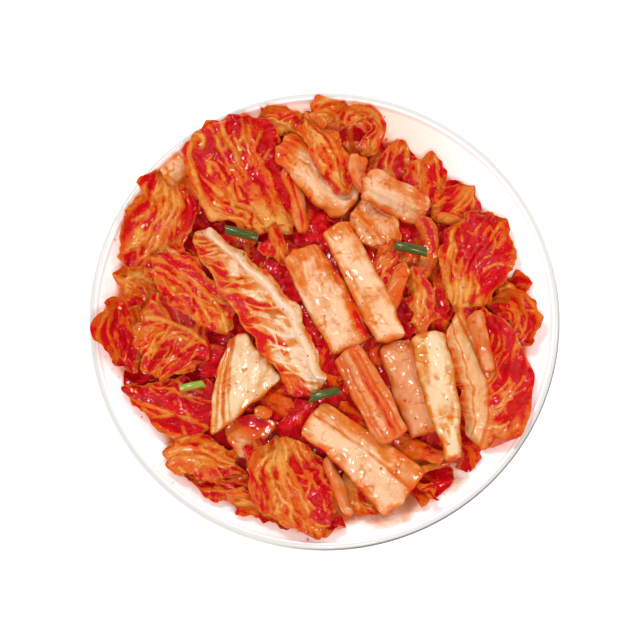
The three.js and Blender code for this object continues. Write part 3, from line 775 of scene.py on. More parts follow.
# %% Step one, the outline
def lay_out(name, look):
    sheet = sheets[name]
    rows, columns = sheet["x"].shape
    seed = sum(name.encode())
    u, v = np.linspace(0, 1, rows)[:, None], np.linspace(-1, 1, columns)[None, :]
    edge_x, edge_y = (sheet[k][:, -1:] - sheet[k][:, :1] for k in "xy")
    full = np.hypot(edge_x, edge_y) / 2
    along = u * sheet["length"] + 0 * v
    end = np.minimum(along, sheet["length"] - along)

    corner = look["corner"] * np.minimum(full, sheet["length"] / 3)
    left = np.maximum(0, corner - end)
    drawn_in = corner - np.sqrt(np.maximum(0, corner ** 2 - left ** 2))
    lobes = look["lobe"] * (noise(along / 8.5, 9 * np.sign(v), seed) + 0.25 * noise(
        along / 2.6, 9 * np.sign(v), seed + 1))
    half = np.maximum(0.8, full * look["grow"] - drawn_in + np.minimum(lobes, 1.5))
    across = v * half
    shift = look["lobe"] * 1.2 * noise(across / 5, np.round(u) * 7, seed + 2) * fade(4 - end, 0, 4)

    unit_x, unit_y = edge_x / (2 * full), edge_y / (2 * full)
    middle_x = (sheet["x"][:, :1] + sheet["x"][:, -1:]) / 2
    middle_y = (sheet["y"][:, :1] + sheet["y"][:, -1:]) / 2
    bend_x = sheet["x"] - middle_x - v * edge_x / 2
    bend_y = sheet["y"] - middle_y - v * edge_y / 2
    x = middle_x + bend_x + across * unit_x + shift * unit_y
    y = middle_y + bend_y + across * unit_y - shift * unit_x
    bent_across = across + 1.3 * noise(along / 9, across / 9, seed + 3) + 0.4 * noise(
        along / 3, across / 3, seed + 4)
    bent_along = along + 1.3 * noise(along / 8, across / 8, seed + 5)
    return SimpleNamespace(
        seed=seed, u=u, v=v, x=x, y=y, along=along, across=across, end=end, full=full,
        side=half - np.abs(across), length=sheet["length"], bent_across=bent_across,
        bent_along=bent_along, thickness=sheet["top"] - sheet["under"], under=sheet["under"])


trial = lay_out("leaf_right_big", big_leaf)
print("points of the big leaf:", trial.x.shape, "length, mm:", round(trial.length, 1))

# %% [markdown]
# The second step raises the surface. Veins stand out like cords; between them the leaf blisters,
# because it goes on growing where the veins hold it back; and the whole sheet lies in folds that run
# with the veins. Taking the absolute value of smooth noise gives round bulges with sharp creases
# between them, as in a crumpled leaf, and these bulges are what catches the light.

# %% Step two, the relief
def raise_relief(piece, look):
    """The relief in mm, how far down in it each point is, and where its veins lie."""
    seed, half = piece.seed, piece.full.mean()
    strokes = vein_strokes(look, np.random.default_rng(seed), piece.length, half)
    ridge, veined = draw_veins(strokes, piece.bent_across, piece.bent_along)
    piece.beside, piece.onward = grain_of(
        look, piece.bent_across, piece.bent_along, piece.length, half)
    piece.uneven = fade(noise(piece.along / 10, piece.across / 10, seed + 20), -0.25, 0.25)
    blister = 1.1 * np.abs(noise(piece.beside / 3.4, piece.onward / 8, seed + 6)) + 1.3 * np.abs(
        noise(piece.x / 4.4, piece.y / 4.4, seed + 18)) - 0.35
    blister = blister * (0.45 + 0.9 * piece.uneven) * (1 - veined)
    fold = 0.6 * noise(piece.beside / 7, piece.onward / 20, seed + 7) + 0.5 * crests(
        piece.beside / 8, piece.onward / 24, seed + 12) - 0.2
    waves = fade(4 - piece.side, 0, 4) * np.abs(noise(
        piece.along / 3.6, 5 * np.sign(piece.v) + piece.across / 6, seed + 8))
    relief = (ridge + look["fold"] * (fold + 0.2) + look["blister"] * blister
              + 1.8 * look["ruffle"] * waves)
    hollow = 0.5 - (0.25 * ridge + 0.55 * fold + 0.45 * blister)
    return relief, hollow, veined


relief, hollow, veined = raise_relief(trial, big_leaf)
print("its relief, mm:", round(relief.min(), 1), "to", round(relief.max(), 1))

# %% [markdown]
# The third step pours the sauce. It gathers in the hollows, runs off the veins and lies in streaks
# that follow the fibres. The patches of the table are then laid over that. Their edges are ragged,
# because the distance from their middle is itself bent by noise.

# %% Step three, the sauce
def near_spot(piece, at, aside, deep, wide):
    return ((piece.u - at) / deep) ** 2 + ((piece.v - aside) / wide) ** 2


def pour_sauce(piece, look, hollow, veined):
    seed, along, across = piece.seed, piece.along, piece.across
    streaks = 0.9 * noise(piece.onward / 13, piece.beside / 5, seed + 9) \
        + 0.8 * piece.uneven * noise(piece.onward / 5, piece.beside / 1.8, seed + 10)
    sauce = look["sauce"] + look["spread"] * streaks + (0.1 if look["stem"] else 0.5) * (hollow - 0.4)
    if not look["stem"]:
        sauce = sauce + 0.3 * fade(noise(along / 9, across / 6, seed + 17), 0.05, 0.25) - 0.06
    bare = veined * (1 - 0.4 * fade(noise(along / 7, across / 5, seed + 19), 0.0, 0.4))
    sauce = sauce + (0.12 + 0.35 * (sauce - look["pale"]) - sauce) * bare
    for at, aside, deep, wide, amount in look["patches"]:
        away = near_spot(piece, at, aside, deep, wide)
        sauce = sauce + amount * np.exp(-away * (1 + 0.6 * noise(along / 4, across / 4, seed + 11)))
    return sauce


sauce = pour_sauce(trial, big_leaf, hollow, veined)
print("its sauce, 5, 50 and 95 %:", np.round(np.percentile(sauce, (5, 50, 95)), 2).tolist())

# %% [markdown]
# The fourth step carves what changes shape and colour together. A midrib is a smooth pale ridge, and
# a groove holds sauce. Sauce soaks in at every cut margin, and stems bulge and get the fine cracks of
# bent, salted flesh. Brown spots are where the leaf was bruised.

# %% Step four, ribs, grooves and margins
def carve(piece, look, relief, sauce):
    """Ribs, grooves, cracks and margins, in both the relief and the sauce."""
    seed, along, across = piece.seed, piece.along, piece.across
    near_straight = 0.65 * across + 0.35 * piece.bent_across
    if look["rib"]:
        at, wide, amount = look["rib"]
        off = np.abs(near_straight - at * piece.full) / wide
        spine = fade(off, 1.25, 0.7)
        relief = relief * (1 - 0.9 * spine) + 1.1 * spine * (1.2 - np.minimum(off, 1.2) ** 2)
        flesh = amount + 0.3 * np.minimum(off, 1) ** 3 + 0.2 * (sauce - look["sauce"])
        sauce = sauce + (flesh - sauce) * spine
    for aside, wide, deep, amount in look["grooves"]:
        cut = np.exp(-((near_straight - aside * piece.full) / wide) ** 2)
        relief, sauce = relief - deep * cut, sauce + amount * cut
    margin = np.exp(-np.minimum(piece.side, piece.end) / (1.5 if look["stem"] else 1.2))
    soaked = look["edge"] + 0.4 * noise(along / 5, across / 5, seed + 15)
    sauce = sauce + (soaked - sauce) * margin
    if look["stem"]:
        crack = fade(crests(piece.beside / 9, piece.onward / 4, seed + 13), 0.8, 0.98) * fade(
            noise(along / 9, across / 9, seed + 14), 0, 0.3)
        sauce = sauce + 0.2 * crack
        relief = relief - 0.15 * crack + look["dome"] * (1 - piece.v ** 2)
    return relief, sauce


def brown_spots(piece, look):
    stain = np.zeros(piece.along.shape)
    for at, aside, deep, wide, amount in look["spots"]:
        away = near_spot(piece, at, aside, deep, wide)
        away = away * (1 + noise(piece.along / 2, piece.across / 2, piece.seed + 16))
        stain = np.maximum(stain, amount * fade(away, 1.3, 0.3))
    return stain


relief, sauce = carve(trial, big_leaf, relief, sauce)
print("its relief with the rib, mm:", round(relief.min(), 1), "to", round(relief.max(), 1))

# %% [markdown]
# The last step closes the piece into a shell. A leaf thins out to its margin, and a stem is cut
# square with slightly rounded edges. The top is pressed down to whatever lies over it, and the
# underside follows the relief in part, so that the leaf is a bent sheet and not a carved block.

# %% Step five, the shell
def close_shell(name, piece, look, relief):
    stem = look["stem"]
    margin, thickness = np.minimum(piece.side, piece.end), piece.thickness
    if not stem:
        thickness = 0.5 + (thickness - 0.5) * fade(margin, 0.3, 4)
    round_off = np.minimum(1.3 if stem else 0.4, thickness / 2)
    inset = np.clip(1 - np.minimum(piece.side, piece.end + 0.4) / round_off, 0, 1)
    droop = round_off * (1 - np.sqrt(1 - 0.98 * inset ** 2))
    under = piece.under - 0.25
    top = np.minimum(under + thickness + relief - droop, ceiling_over(name) - 0.12)
    lift = np.maximum(0, relief) * (0.3 if stem else 0.85)
    return top, np.minimum(under + lift + 0.8 * droop, top - 0.18)


top, under = close_shell("leaf_right_big", trial, big_leaf, relief)
print("its thickness, mm:", round((top - under).min(), 2), "to", round((top - under).max(), 2))

# %% [markdown]
# The five steps are now run for every leaf and stem in the frame. Fibres are read from the marks
# `along` and `across`, and each piece shifts these by an amount of its own, so that no two pieces
# show the same ones. A few pieces wear another skin than their slot's, where the table says so.

# %% Make all leaves and stems
finished = {}


def add_cabbage(name, look):
    piece = lay_out(name, look)
    relief, hollow, veined = raise_relief(piece, look)
    relief, sauce = carve(piece, look, relief, pour_sauce(piece, look, hollow, veined))
    top, under = close_shell(name, piece, look, relief)
    finished[name] = (piece.x, piece.y, top)
    marks = {"sauce": np.clip(sauce, 0, 1.3), "spot": brown_spots(piece, look),
             "along": piece.along + 50 * (piece.seed % 19),
             "across": piece.across + 30 * (piece.seed % 7)}
    shell = add_mesh("cabbage_" + name, shell_points(piece.x, piece.y, top, under),
                     shell_faces(*piece.x.shape),
                     {mark: np.tile(values.ravel(), 2) for mark, values in marks.items()})
    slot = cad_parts[name].data.materials[0].name
    finish_piece(shell, name, MATERIALS[look.get("skin", slot)])
    return len(shell.data.polygons)


faces = {name: add_cabbage(name, LOOKS[name]) for name in PIECES}
print("cabbage pieces:", len(faces), "faces:", sum(faces.values()), "most:", max(faces.values()))

# %% [markdown]
# The tangle under the pieces that show is a core with scraps of leaf laid over it. To lay anything on
# anything else, the script needs to know how high the ground is, so it draws maps of the upper faces
# of the frame's bed and plate. Each triangle fills in the cells under it, by the share that each of
# its corners has there. Blurring a map rounds off the frame's facets.

# %% Maps of the ground
def heights_of(node):
    """A map of a solid's upper faces, in millimetres."""
    points, faces = read_faces(node)
    corners = points[faces]
    rows, columns = np.mgrid[0:SIDE, 0:SIDE]
    field = np.full((SIDE, SIDE), -np.inf)
    edge_b, edge_c = corners[:, 1] - corners[:, 0], corners[:, 2] - corners[:, 0]
    area = edge_b[:, 0] * edge_c[:, 1] - edge_b[:, 1] * edge_c[:, 0]
    for (a, b, c), size in zip(corners[area > LEVEL], area[area > LEVEL]):
        low = np.floor((np.min([a, b, c], axis=0)[:2] + HALF) / CELL).astype(int)
        high = np.ceil((np.max([a, b, c], axis=0)[:2] + HALF) / CELL).astype(int) + 1
        here = (slice(low[1], high[1]), slice(low[0], high[0]))
        x, y = columns[here] * CELL - HALF, rows[here] * CELL - HALF
        second = ((x - a[0]) * (c[1] - a[1]) - (c[0] - a[0]) * (y - a[1])) / size
        third = ((b[0] - a[0]) * (y - a[1]) - (x - a[0]) * (b[1] - a[1])) / size
        inside = (second >= -1e-6) & (third >= -1e-6) & (second + third <= 1 + 1e-6)
        height = a[2] + second * (b[2] - a[2]) + third * (c[2] - a[2])
        field[here] = np.where(inside, np.maximum(field[here], height), field[here])
    return field


def blur(field, times):
    for _ in range(times):
        for axis in (0, 1):
            field = (np.roll(field, 1, axis) + 2 * field + np.roll(field, -1, axis)) / 4
    return field


SINK = 3.4  # how much lower than the frame's bed the core is
bed_top, plate_top = heights_of("kimchi_bed"), heights_of("plate")
plate_ground = np.where(np.isfinite(plate_top), plate_top, 0)
ground = np.where(np.isfinite(bed_top), bed_top - SINK, -np.inf)
ground = blur(np.maximum(ground, plate_ground), times=4)
lids = np.min(list(undersides.values()), axis=0)
heap = (np.isfinite(lids) | np.isfinite(bed_top)).astype(float)
uncovered = np.isfinite(bed_top) & ~np.isfinite(lids)
print("bed, cm2:", np.isfinite(bed_top).sum() * CELL ** 2 / 100, "open:",
      uncovered.sum() * CELL ** 2 / 100)

# %% [markdown]
# Several things here are spun round an axis: the core, the plate, the scallion tubes and the pool of
# juice. Their faces follow one pattern, ring after ring. A round shell has such faces above and below,
# a wall outside, and a tiny one round the middle, so that it is closed.

# %% Faces of spun things
def ring_faces(index, turned=False):
    """Faces between rings of points, given as rows of point numbers, or the same faces turned over."""
    ahead = np.roll(index, -1, axis=1)
    corners = [index[:-1], index[1:], ahead[1:], ahead[:-1]]
    if turned:
        corners = corners[:1] + corners[:0:-1]
    return np.stack(corners, -1).reshape(-1, 4)


def round_shell_faces(rings, turns):
    index = np.arange(rings * turns).reshape(rings, turns)
    ahead, size = np.roll(index, -1, axis=1), rings * turns
    upper = ring_faces(index)
    wall = np.stack([index[-1], index[-1] + size, ahead[-1] + size, ahead[-1]], -1)
    inner = np.stack([index[0], ahead[0], ahead[0] + size, index[0] + size], -1)
    return np.concatenate([upper, upper[:, ::-1] + size, wall, inner])


def turn_angles(turns):
    return np.linspace(0, 2 * math.pi, turns, endpoint=False)[None, :]


print("faces of a round shell of 3 rings by 8:", len(round_shell_faces(3, 8)))

# %% [markdown]
# The core of the tangle stands for all that is too deep to see. Leaves one by one would be more real
# and never show, so it is one round shell, drawn in from the outline of the frame's bed, with lumps on
# top, and pressed down where a piece lies over it.

# %% The core of the bed
def outline_of(points, sectors):
    """The angle and radius of a round solid's outermost corner in each sector."""
    radius, angle = np.hypot(points[:, 0], points[:, 1]), np.arctan2(points[:, 1], points[:, 0])
    sector = np.floor((angle + math.pi) / (2 * math.pi) * sectors - 0.5).astype(int) % sectors
    reach = np.zeros(sectors)
    np.maximum.at(reach, sector, radius)
    return (np.arange(sectors) + 1) * 2 * math.pi / sectors - math.pi, reach


def add_core(turns=150, rings=46, drawn_in=0.95):
    points, _ = read_faces("kimchi_bed")
    angle = turn_angles(turns)
    radius = np.interp(angle, *outline_of(points, sectors=36), period=2 * math.pi) * drawn_in
    share = np.linspace(0.002, 1, rings)[:, None]
    x, y = share * radius * np.cos(angle), share * radius * np.sin(angle)
    lumps = 0.9 * crests(x / 5, y / 5, 3) + 0.5 * noise(x / 2.2, y / 2.2, 4)
    cells = cell_of(x, y)
    top = np.minimum(ground[cells] + lumps * (1 - share ** 6), lids[cells] - 0.3)
    under = plate_top[cells] + 0.4
    marks = {"sauce": np.full(2 * rings * turns, 1.1), "along": np.tile(y.ravel(), 2),
             "across": np.tile(x.ravel(), 2)}
    core = add_mesh("bed_core", shell_points(x, y, np.maximum(top, under + 0.2), under),
                    round_shell_faces(rings, turns), marks)
    finish_piece(core, "kimchi_bed", MATERIALS["sauce_bed"])
    print("core, mm:", np.round(radius.min(), 1), "to", np.round(radius.max(), 1), "in radius,",
          np.round(top.max(), 1), "high")


add_core()

# %% [markdown]
# A scrap is a ruffled piece of leaf. It is laid on what is already there: the ground under it is
# lifted again and again towards the mean of its neighbours, which stretches it over hollows as a
# sheet would lie. A cloth simulation would do the same and take far longer. The scrap is pressed flat
# wherever a piece lies over it, and then becomes ground itself.

# %% Drape a sheet
def drape(reached, passes=14, sag=0.05):
    """A sheet over the heights that are reached, in mm, hanging a little into the hollows."""
    laid = reached
    for _ in range(passes):
        padded = np.pad(laid, 1, mode="edge")
        level = (padded[2:, 1:-1] + padded[:-2, 1:-1] + padded[1:-1, 2:] + padded[1:-1, :-2]) / 4
        laid = np.maximum(reached, level - sag)
    return laid


dented = np.zeros((9, 9))
dented[4, 4] = -3
print("over a dent 3 mm deep the sheet hangs down, mm:", round(-drape(dented).min(), 2))

# %% [markdown]
# The scrap has its own small set of veins, folds and waves, and holds less sauce on its ridges. Pieces
# like it can't be told apart by name in the real heap, so chance draws their size, turn and sauce.

# %% Lay one scrap
def lay_scrap(rng, at_x, at_y, heading, long, wide):
    rows, columns = int(long / 0.9) + 2, int(wide / 0.8) + 2
    u, v = np.linspace(0, 1, rows)[:, None], np.linspace(-1, 1, columns)[None, :]
    turn = heading + rng.uniform(-0.9, 0.9) * (u - 0.5)
    seed = int(rng.integers(1000))
    half = wide / 2 * np.sqrt(np.maximum(0.02, 1 - np.abs(2 * u - 1) ** rng.uniform(2.2, 4)))
    half = half * (1 + 0.5 * noise(u * 5, np.sign(v) * 3, seed))
    ragged = 1.2 * noise(v * 2.5, np.round(u) * 5, seed + 1)
    along, across = u * long + ragged * np.abs(2 * u - 1), v * half
    x = at_x + (along - long / 2) * np.cos(turn) - across * np.sin(turn)
    y = at_y + (along - long / 2) * np.sin(turn) + across * np.cos(turn)
    laid = drape(ground[cell_of(x, y)])

    warp = 1.4 * noise(along / 6, across / 6, seed + 2)
    strokes = vein_strokes(LEAF | {"count": max(2, int(wide / 5))}, rng, long, wide / 2)
    ridge, cover = draw_veins(strokes, across + warp, along - warp)
    waves = fade(np.abs(v), 0.3, 1) * np.abs(noise(along / 3.4, 4 * np.sign(v), seed + 3))
    fold = noise(across / 6, along / 11, seed + 4)
    top = laid + 0.7 + 0.9 * ridge + 2.4 * waves + 1.5 * (fold + 0.3)
    top = np.minimum(np.maximum(top, laid + 0.4), lids[cell_of(x, y)] - 0.25)
    np.maximum.at(ground, cell_of(x, y), top)

    margin = np.exp(-(np.abs(half) - np.abs(across)) / 0.7)
    sauce = rng.uniform(0.72, 1.15) - 0.3 * cover - 0.35 * fold - 0.2 * margin + 0 * u
    marks = {"sauce": np.clip(sauce, 0.2, 1.3), "along": along + 20 * seed, "across": across}
    return x, y, top, np.minimum(laid + 0.1, top - 0.2), marks


print("the ground before the first scrap, mm:", round(ground.max(), 1), "high")

# %% [markdown]
# Scraps are thrown like darts: a spot is kept if it is open to view, has much of the heap round it,
# and no other scrap is near. Near the rim they point outwards, as the real leaves hang over, and
# further in they lie any way. All of them become one mesh.

# %% Fill the gaps with scraps
def join_shells(shells):
    """Many small shells as one set of points, faces and marks."""
    points, faces, marks, count = [], [], {}, 0
    for x, y, top, under, values in shells:
        points.append(shell_points(x, y, top, under))
        faces.append(shell_faces(*x.shape) + count)
        count += 2 * x.size
        for mark, value in values.items():
            marks.setdefault(mark, []).append(np.tile(np.ravel(value), 2))
    joined = {mark: np.concatenate(values) for mark, values in marks.items()}
    return np.concatenate(points), np.concatenate(faces), joined


def add_scraps(tries, apart):
    rng = np.random.default_rng(5)
    crowd = blur(heap, times=50)
    rows, columns = np.mgrid[0:SIDE, 0:SIDE] * CELL - HALF
    spots = np.argwhere(~np.isfinite(lids) & (crowd > 0.42) & (np.hypot(rows, columns) < 70))
    kept, shells = [], []
    for spot in spots[rng.integers(len(spots), size=tries)]:
        if any(np.hypot(*(spot - other)) * CELL < apart for other in kept):
            continue
        kept.append(spot)
        at_y, at_x = spot * CELL - HALF
        out = math.atan2(at_y, at_x)
        near_rim = math.hypot(at_x, at_y) > 58
        heading = out + rng.uniform(-0.7, 0.7) if near_rim else rng.uniform(0, 2 * math.pi)
        shells.append(lay_scrap(rng, at_x, at_y, heading, rng.uniform(12, 22), rng.uniform(8, 14)))
    scraps = add_mesh("bed_scraps", *join_shells(shells))
    finish_piece(scraps, "kimchi_bed", MATERIALS["sauce_bed"])
    print("scraps:", len(kept), "faces:", len(scraps.data.polygons))


add_scraps(tries=2500, apart=6.0)

# %% [markdown]
# The plate is thrown round, so its section says everything. It could be drawn anew and spun with the
# screw modifier, but the frame's own section has the true size. Its corner points are taken in order
# along the section, by walking from one to the next over the edges of the faces.

# %% The plate's section
def section_of_plate():
    points, faces = read_faces("plate")
    flat = [k for k in range(len(points)) if abs(points[k, 1]) < 0.01 and points[k, 0] > -0.01]
    links = {k: set() for k in flat}
    for face in faces:
        kept = [k for k in face if k in links]
        for a in kept:
            links[a].update(b for b in kept if b != a)
    chain = [min(flat, key=lambda k: (points[k, 0], points[k, 2]))]
    while True:
        ahead = [k for k in links[chain[-1]] if k not in chain]
        if not ahead:
            return points[chain][:, [0, 2]]
        chain.append(ahead[0])


section = section_of_plate()
plate_radius = section[:, 0].max()
print("plate section, mm:", np.round(section, 1).tolist())

# %% [markdown]
# White glaze is a smooth coat over a pale body. Brine and sauce have tinted it, and tiny orange specks
# of chili cling to it. How strong the stain is, together with a painted shade on the far wall, which
# side is the inner one, and where a grey painted shade lines the lip are marks on the mesh. The outer
# side is painted a little darker as shade, and a painted glow lifts the inner side, standing in for
# light that is thrown to and fro in a white bowl.

# %% The glaze
def glaze_material():
    material, tree, body = make_material("glaze")
    where = place(tree)
    stain, inner, painted_lip_shade = (mark_node(tree, mark) for mark in ("stain", "inner", "painted_lip_shade"))
    wander = math_node(tree, "MULTIPLY", math_node(
        tree, "SUBTRACT", noise_node(tree, where, 45.0), 0.5), 0.25)
    # the stain mark holds the real stain and also the painted shade of the far wall
    amount = math_node(tree, "ADD", stain, math_node(tree, "MULTIPLY", wander, stain))
    tint = mix(tree, ramp(tree, amount, 0.05, 0.6), colour("fffefd"), colour("fadccb"))
    tint = mix(tree, ramp(tree, amount, 0.6, 1.0), tint, colour("f2b492"))
    tint = mix(tree, ramp(tree, amount, 1.0, 1.5), tint, colour("e0682c"))
    dots = use_group(tree, SPECK_GROUP, {"Scale": 230.0, "Share": 0.05, "Size": 0.13})["Mask"]
    dirt = math_node(tree, "MULTIPLY", dots, ramp(tree, stain, 0.05, 0.5))
    # painted shade: the outer side gets a greyer base colour, dedbd6, and the inner side gets the tint
    stained_and_shaded = mix(tree, dirt, mix(tree, inner, colour("dedbd6"), tint), colour("e2864a"))
    # a grey painted shade, colour 56534f, goes over the glaze on the lip's outer edge
    tree.links.new(mix(tree, painted_lip_shade, stained_and_shaded, colour("56534f")), body.inputs["Base Color"])
    waviness = add_node(tree, "ShaderNodeBump", {
        "Height": noise_node(tree, where, 60.0), "Strength": 0.05, "Distance": 0.001})
    tree.links.new(waviness.outputs[0], body.inputs["Normal"])
    # painted light: the inner side glows in the tint colour, standing in for light bounced round the
    # bowl
    tree.links.new(mix(tree, inner, (0, 0, 0, 1), tint), body.inputs["Emission Color"])
    set_inputs(body, {"Emission Strength": 0.25, "Roughness": 0.35, "Coat Weight": 0.3,
                      "Coat Roughness": 0.05})
    return material


GLAZE = glaze_material()
print("nodes in the glaze:", len(GLAZE.node_tree.nodes))

# %% [markdown]
# A section of straight lines would show rings on the glossy wall, so a cubic curve goes through the
# corners. They lie at uneven distances, so the curve takes its slopes from the real ones.

# %% A smooth section
def curve_through(points, spacing):
    """A smooth curve through uneven points (a Catmull-Rom spline over their real distances)."""
    lengths = np.r_[0, np.cumsum(np.hypot(*np.diff(points, axis=0).T))]
    last = len(points) - 1
    fine = [points[0]]
    for k in range(last):
        p, q, r, s = (points[np.clip(k + d, 0, last)] for d in (-1, 0, 1, 2))
        gap = lengths[k + 1] - lengths[k]
        before = (r - p) / max(gap, lengths[k + 1] - lengths[max(k - 1, 0)]) * gap
        after = (s - q) / max(gap, lengths[min(k + 2, last)] - lengths[k]) * gap
        for t in np.linspace(0, 1, max(2, int(gap / spacing)) + 1)[1:]:
            fine.append((2 * t ** 3 - 3 * t ** 2 + 1) * q + (t ** 3 - 2 * t ** 2 + t) * before
                        + (3 * t ** 2 - 2 * t ** 3) * r + (t ** 3 - t ** 2) * after)
    return np.array(fine)


profile = curve_through(section, spacing=0.9)
print("points on the section:", len(section), "then", len(profile))

# %% [markdown]
# The curve is spun round in small steps. The stain is strongest in pockets that the heap closes in,
# then comes a painted shade on the far wall, and then the stain near the heap in front. It stops short
# of the lip, which was wiped.

# %% The plate
def stain_and_shade_of_plate(x, y, radius):
    close, halo = (blur(heap, times)[cell_of(x, y)] for times in (24, 300))
    # painted shade: the far inner wall is tinted cream-pink where it faces away from the key light
    painted_far_wall_shade = fade((y - 0.3 * x) / plate_radius, 0.1, 1.1)
    front = fade((0.15 * x - y) / plate_radius, 0.3, 0.9)
    pooled = fade(halo, 0.55, 0.8)
    below_lip = fade(plate_radius - radius, 0.5, 5)
    return below_lip * np.max(
        [0.32 * close ** 2, 0.7 * painted_far_wall_shade, 0.28 * front * halo, 1.6 * pooled], axis=0)


def add_plate(turns=180):
    angle = turn_angles(turns)
    radius, height = np.maximum(profile[:, :1], 0.01), np.maximum(profile[:, 1:], section[:, 1].min())
    x, y = radius * np.cos(angle), radius * np.sin(angle)
    inside = (np.arange(len(profile)) > np.argmax(profile[:, 1]))[:, None]
    stain = inside * stain_and_shade_of_plate(x, y, profile[:, :1])
    # painted shade: a grey line on the outer edge of the lip, towards the lower right, away from the
    # key light
    painted_lip_shade = (profile[:, :1] > plate_radius - 0.45) * fade((x - y) / plate_radius, 0.6, 1.2)
    index = np.arange(len(profile) * turns).reshape(len(profile), turns)
    plate = add_mesh("plate_glazed", np.stack([x, y, height + 0 * angle], -1).reshape(-1, 3),
                     ring_faces(index, turned=True),
                     {"stain": stain, "inner": inside + 0 * stain, "painted_lip_shade": painted_lip_shade})
    finish_piece(plate, "plate", GLAZE, crease=60)
    print("plate, mm:", np.round(2 * x.max(), 1), "wide,", np.round(height.max(), 1), "high,",
          len(plate.data.polygons), "faces")


add_plate()

# %% [markdown]
# Scallion leaf is a hollow tube with a thin wall. Its skin is fibrous and waxy, with streaks of
# lighter green, so its noise is stretched along the tube, and the inside is paler. It shares the
# fibre and speck groups with the cabbage, with values of its own.

# %% Scallion skin
def scallion_material(name, dark, light):
    material, tree, body = make_material(name)
    fibres = use_group(tree, FIBRE_GROUP, {"Fibre": 0.7, "Crumple": 0.2, "Crumple Scale": 500.0})
    skin = mix(tree, ramp(tree, fibres["Streak"], 0.3, 0.7), colour(dark), colour(light))
    skin = mix(tree, mark_node(tree, "sauce"), skin, colour("c9cf86"))
    dots = use_group(tree, SPECK_GROUP, {"Scale": 700.0, "Share": 0.3, "Size": 0.24})["Mask"]
    tree.links.new(mix(tree, dots, skin, ORANGE), body.inputs["Base Color"])
    relief = add_node(tree, "ShaderNodeBump", {
        "Height": fibres["Height"], "Strength": 0.35, "Distance": 0.0004})
    tree.links.new(relief.outputs[0], body.inputs["Normal"])
    set_inputs(body, {"Roughness": 0.4, "Specular IOR Level": 0.2, "Coat Weight": 0.7,
                      "Coat IOR": 1.33, "Coat Roughness": 0.08})
    return material


MATERIALS["scallion_dark"] = scallion_material("scallion_dark", "2c3406", "5a6010")
MATERIALS["scallion_bright"] = scallion_material("scallion_bright", "6f8a1c", "a9b440")
print("materials so far:", len(MATERIALS))

# %% [markdown]
# A cut of scallion is a little flattened and bent, with slanting ends. A solid rod would look wrong at
# both ends, where the hollow shows, so one run of rings goes along the outside and back through the
# inside, and the wall closes on itself.

# %% Rings of a hollow tube
def tube_rings(rng, middle, axes, reach, radius, angle, stations):
    """Rings of points for the outside and then the inside of a cut, and which of them are inside."""
    heading, aside, up = axes
    tilt = rng.uniform(-0.5, 0.5, 2)
    rings, marks = [], []
    for wall, inner in ((0, 0), (0.6, 1)):
        share = np.linspace(-1, 1, stations)[:, None]
        if inner:
            share = share[::-1]
        slant = np.where(share > 0, tilt[0], tilt[1]) * np.cos(angle) * share ** 6 * radius
        along = share * reach * 0.98 + slant
        dents = 1 + 0.06 * noise(share * 3 + 0 * angle, 2 + np.cos(angle) * 1.5 + 0 * share, 5)
        wide, tall = radius * dents * 0.99 - wall, radius * dents * 0.8 - wall
        bow = 0.5 * (1 - share ** 2)
        rings.append(middle + along[..., None] * heading + (wide * np.cos(angle))[..., None] * aside
                     + (tall * np.sin(angle) + bow)[..., None] * up)
        marks.append(np.full(along.size, float(inner)))
    return np.concatenate([ring.reshape(-1, 3) for ring in rings]), np.concatenate(marks)


trial_tube, _ = tube_rings(np.random.default_rng(1), middle=np.zeros(3), axes=np.eye(3), reach=5,
                           radius=2, angle=turn_angles(40), stations=26)
print("points of a trial tube:", len(trial_tube), "box, mm:", np.round(np.ptp(trial_tube, axis=0), 1))

# %% [markdown]
# Each tube is laid along its node's own long axis, found as the direction in which the node's points
# spread most. Its marks feed the same groups as the cabbage's: `across` runs round the tube, and
# `sauce` says which side of the wall is the inner one.

# %% Scallion cuts
def add_scallion(node, turns=40, stations=26):
    points, _ = read_faces(node)
    middle = points.mean(axis=0)
    _, _, spreads = np.linalg.svd(points - middle)
    heading = spreads[0] * np.sign(spreads[0][0])
    aside = np.cross([0, 0, 1], heading)
    up = np.cross(heading, aside)
    lengthwise = (points - middle) @ heading
    radius = np.linalg.norm((points - middle) - np.outer(lengthwise, heading), axis=1).max()
    angle = turn_angles(turns)
    tube, inner = tube_rings(np.random.default_rng(sum(node.encode())), middle, (heading, aside, up),
                             np.abs(lengthwise).max(), radius, angle, stations)
    index = np.arange(len(tube)).reshape(-1, turns)
    faces = ring_faces(np.concatenate([index, index[:1]]), turned=True)
    spun = np.tile(angle * radius * 1.6, (2 * stations, 1))
    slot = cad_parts[node].data.materials[0].name
    piece = add_mesh("cut_" + node, tube, faces, {
        "sauce": inner, "along": (tube - middle) @ heading * 2, "across": spun})
    finish_piece(piece, node, MATERIALS[slot], crease=60)
    return tube


tubes = {name: add_scallion(name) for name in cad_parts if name.startswith("scallion")}
print("scallion cuts, mm:", {name: np.round(np.ptp(tube, axis=0), 1).tolist()
                             for name, tube in tubes.items()})

# %% [markdown]
# Juice has run out of the heap in front, a little to the right, where the bed draws back. It is a film
# a few tenths of a millimetre deep on the plate's wall, orange and half clear. It lies still, so it
# needs no fluid simulation. Its outline is an oval pushed in and out by noise, and it thins to nothing
# at the edge, which alpha follows.

# %% The pool of juice
POOL = {"middle": (27, -60), "long": 27, "wide": 16}
POOL_LEAN = math.atan2(POOL["middle"][1], POOL["middle"][0]) + math.pi / 2
POOL_REACH = 80  # no juice beyond this radius


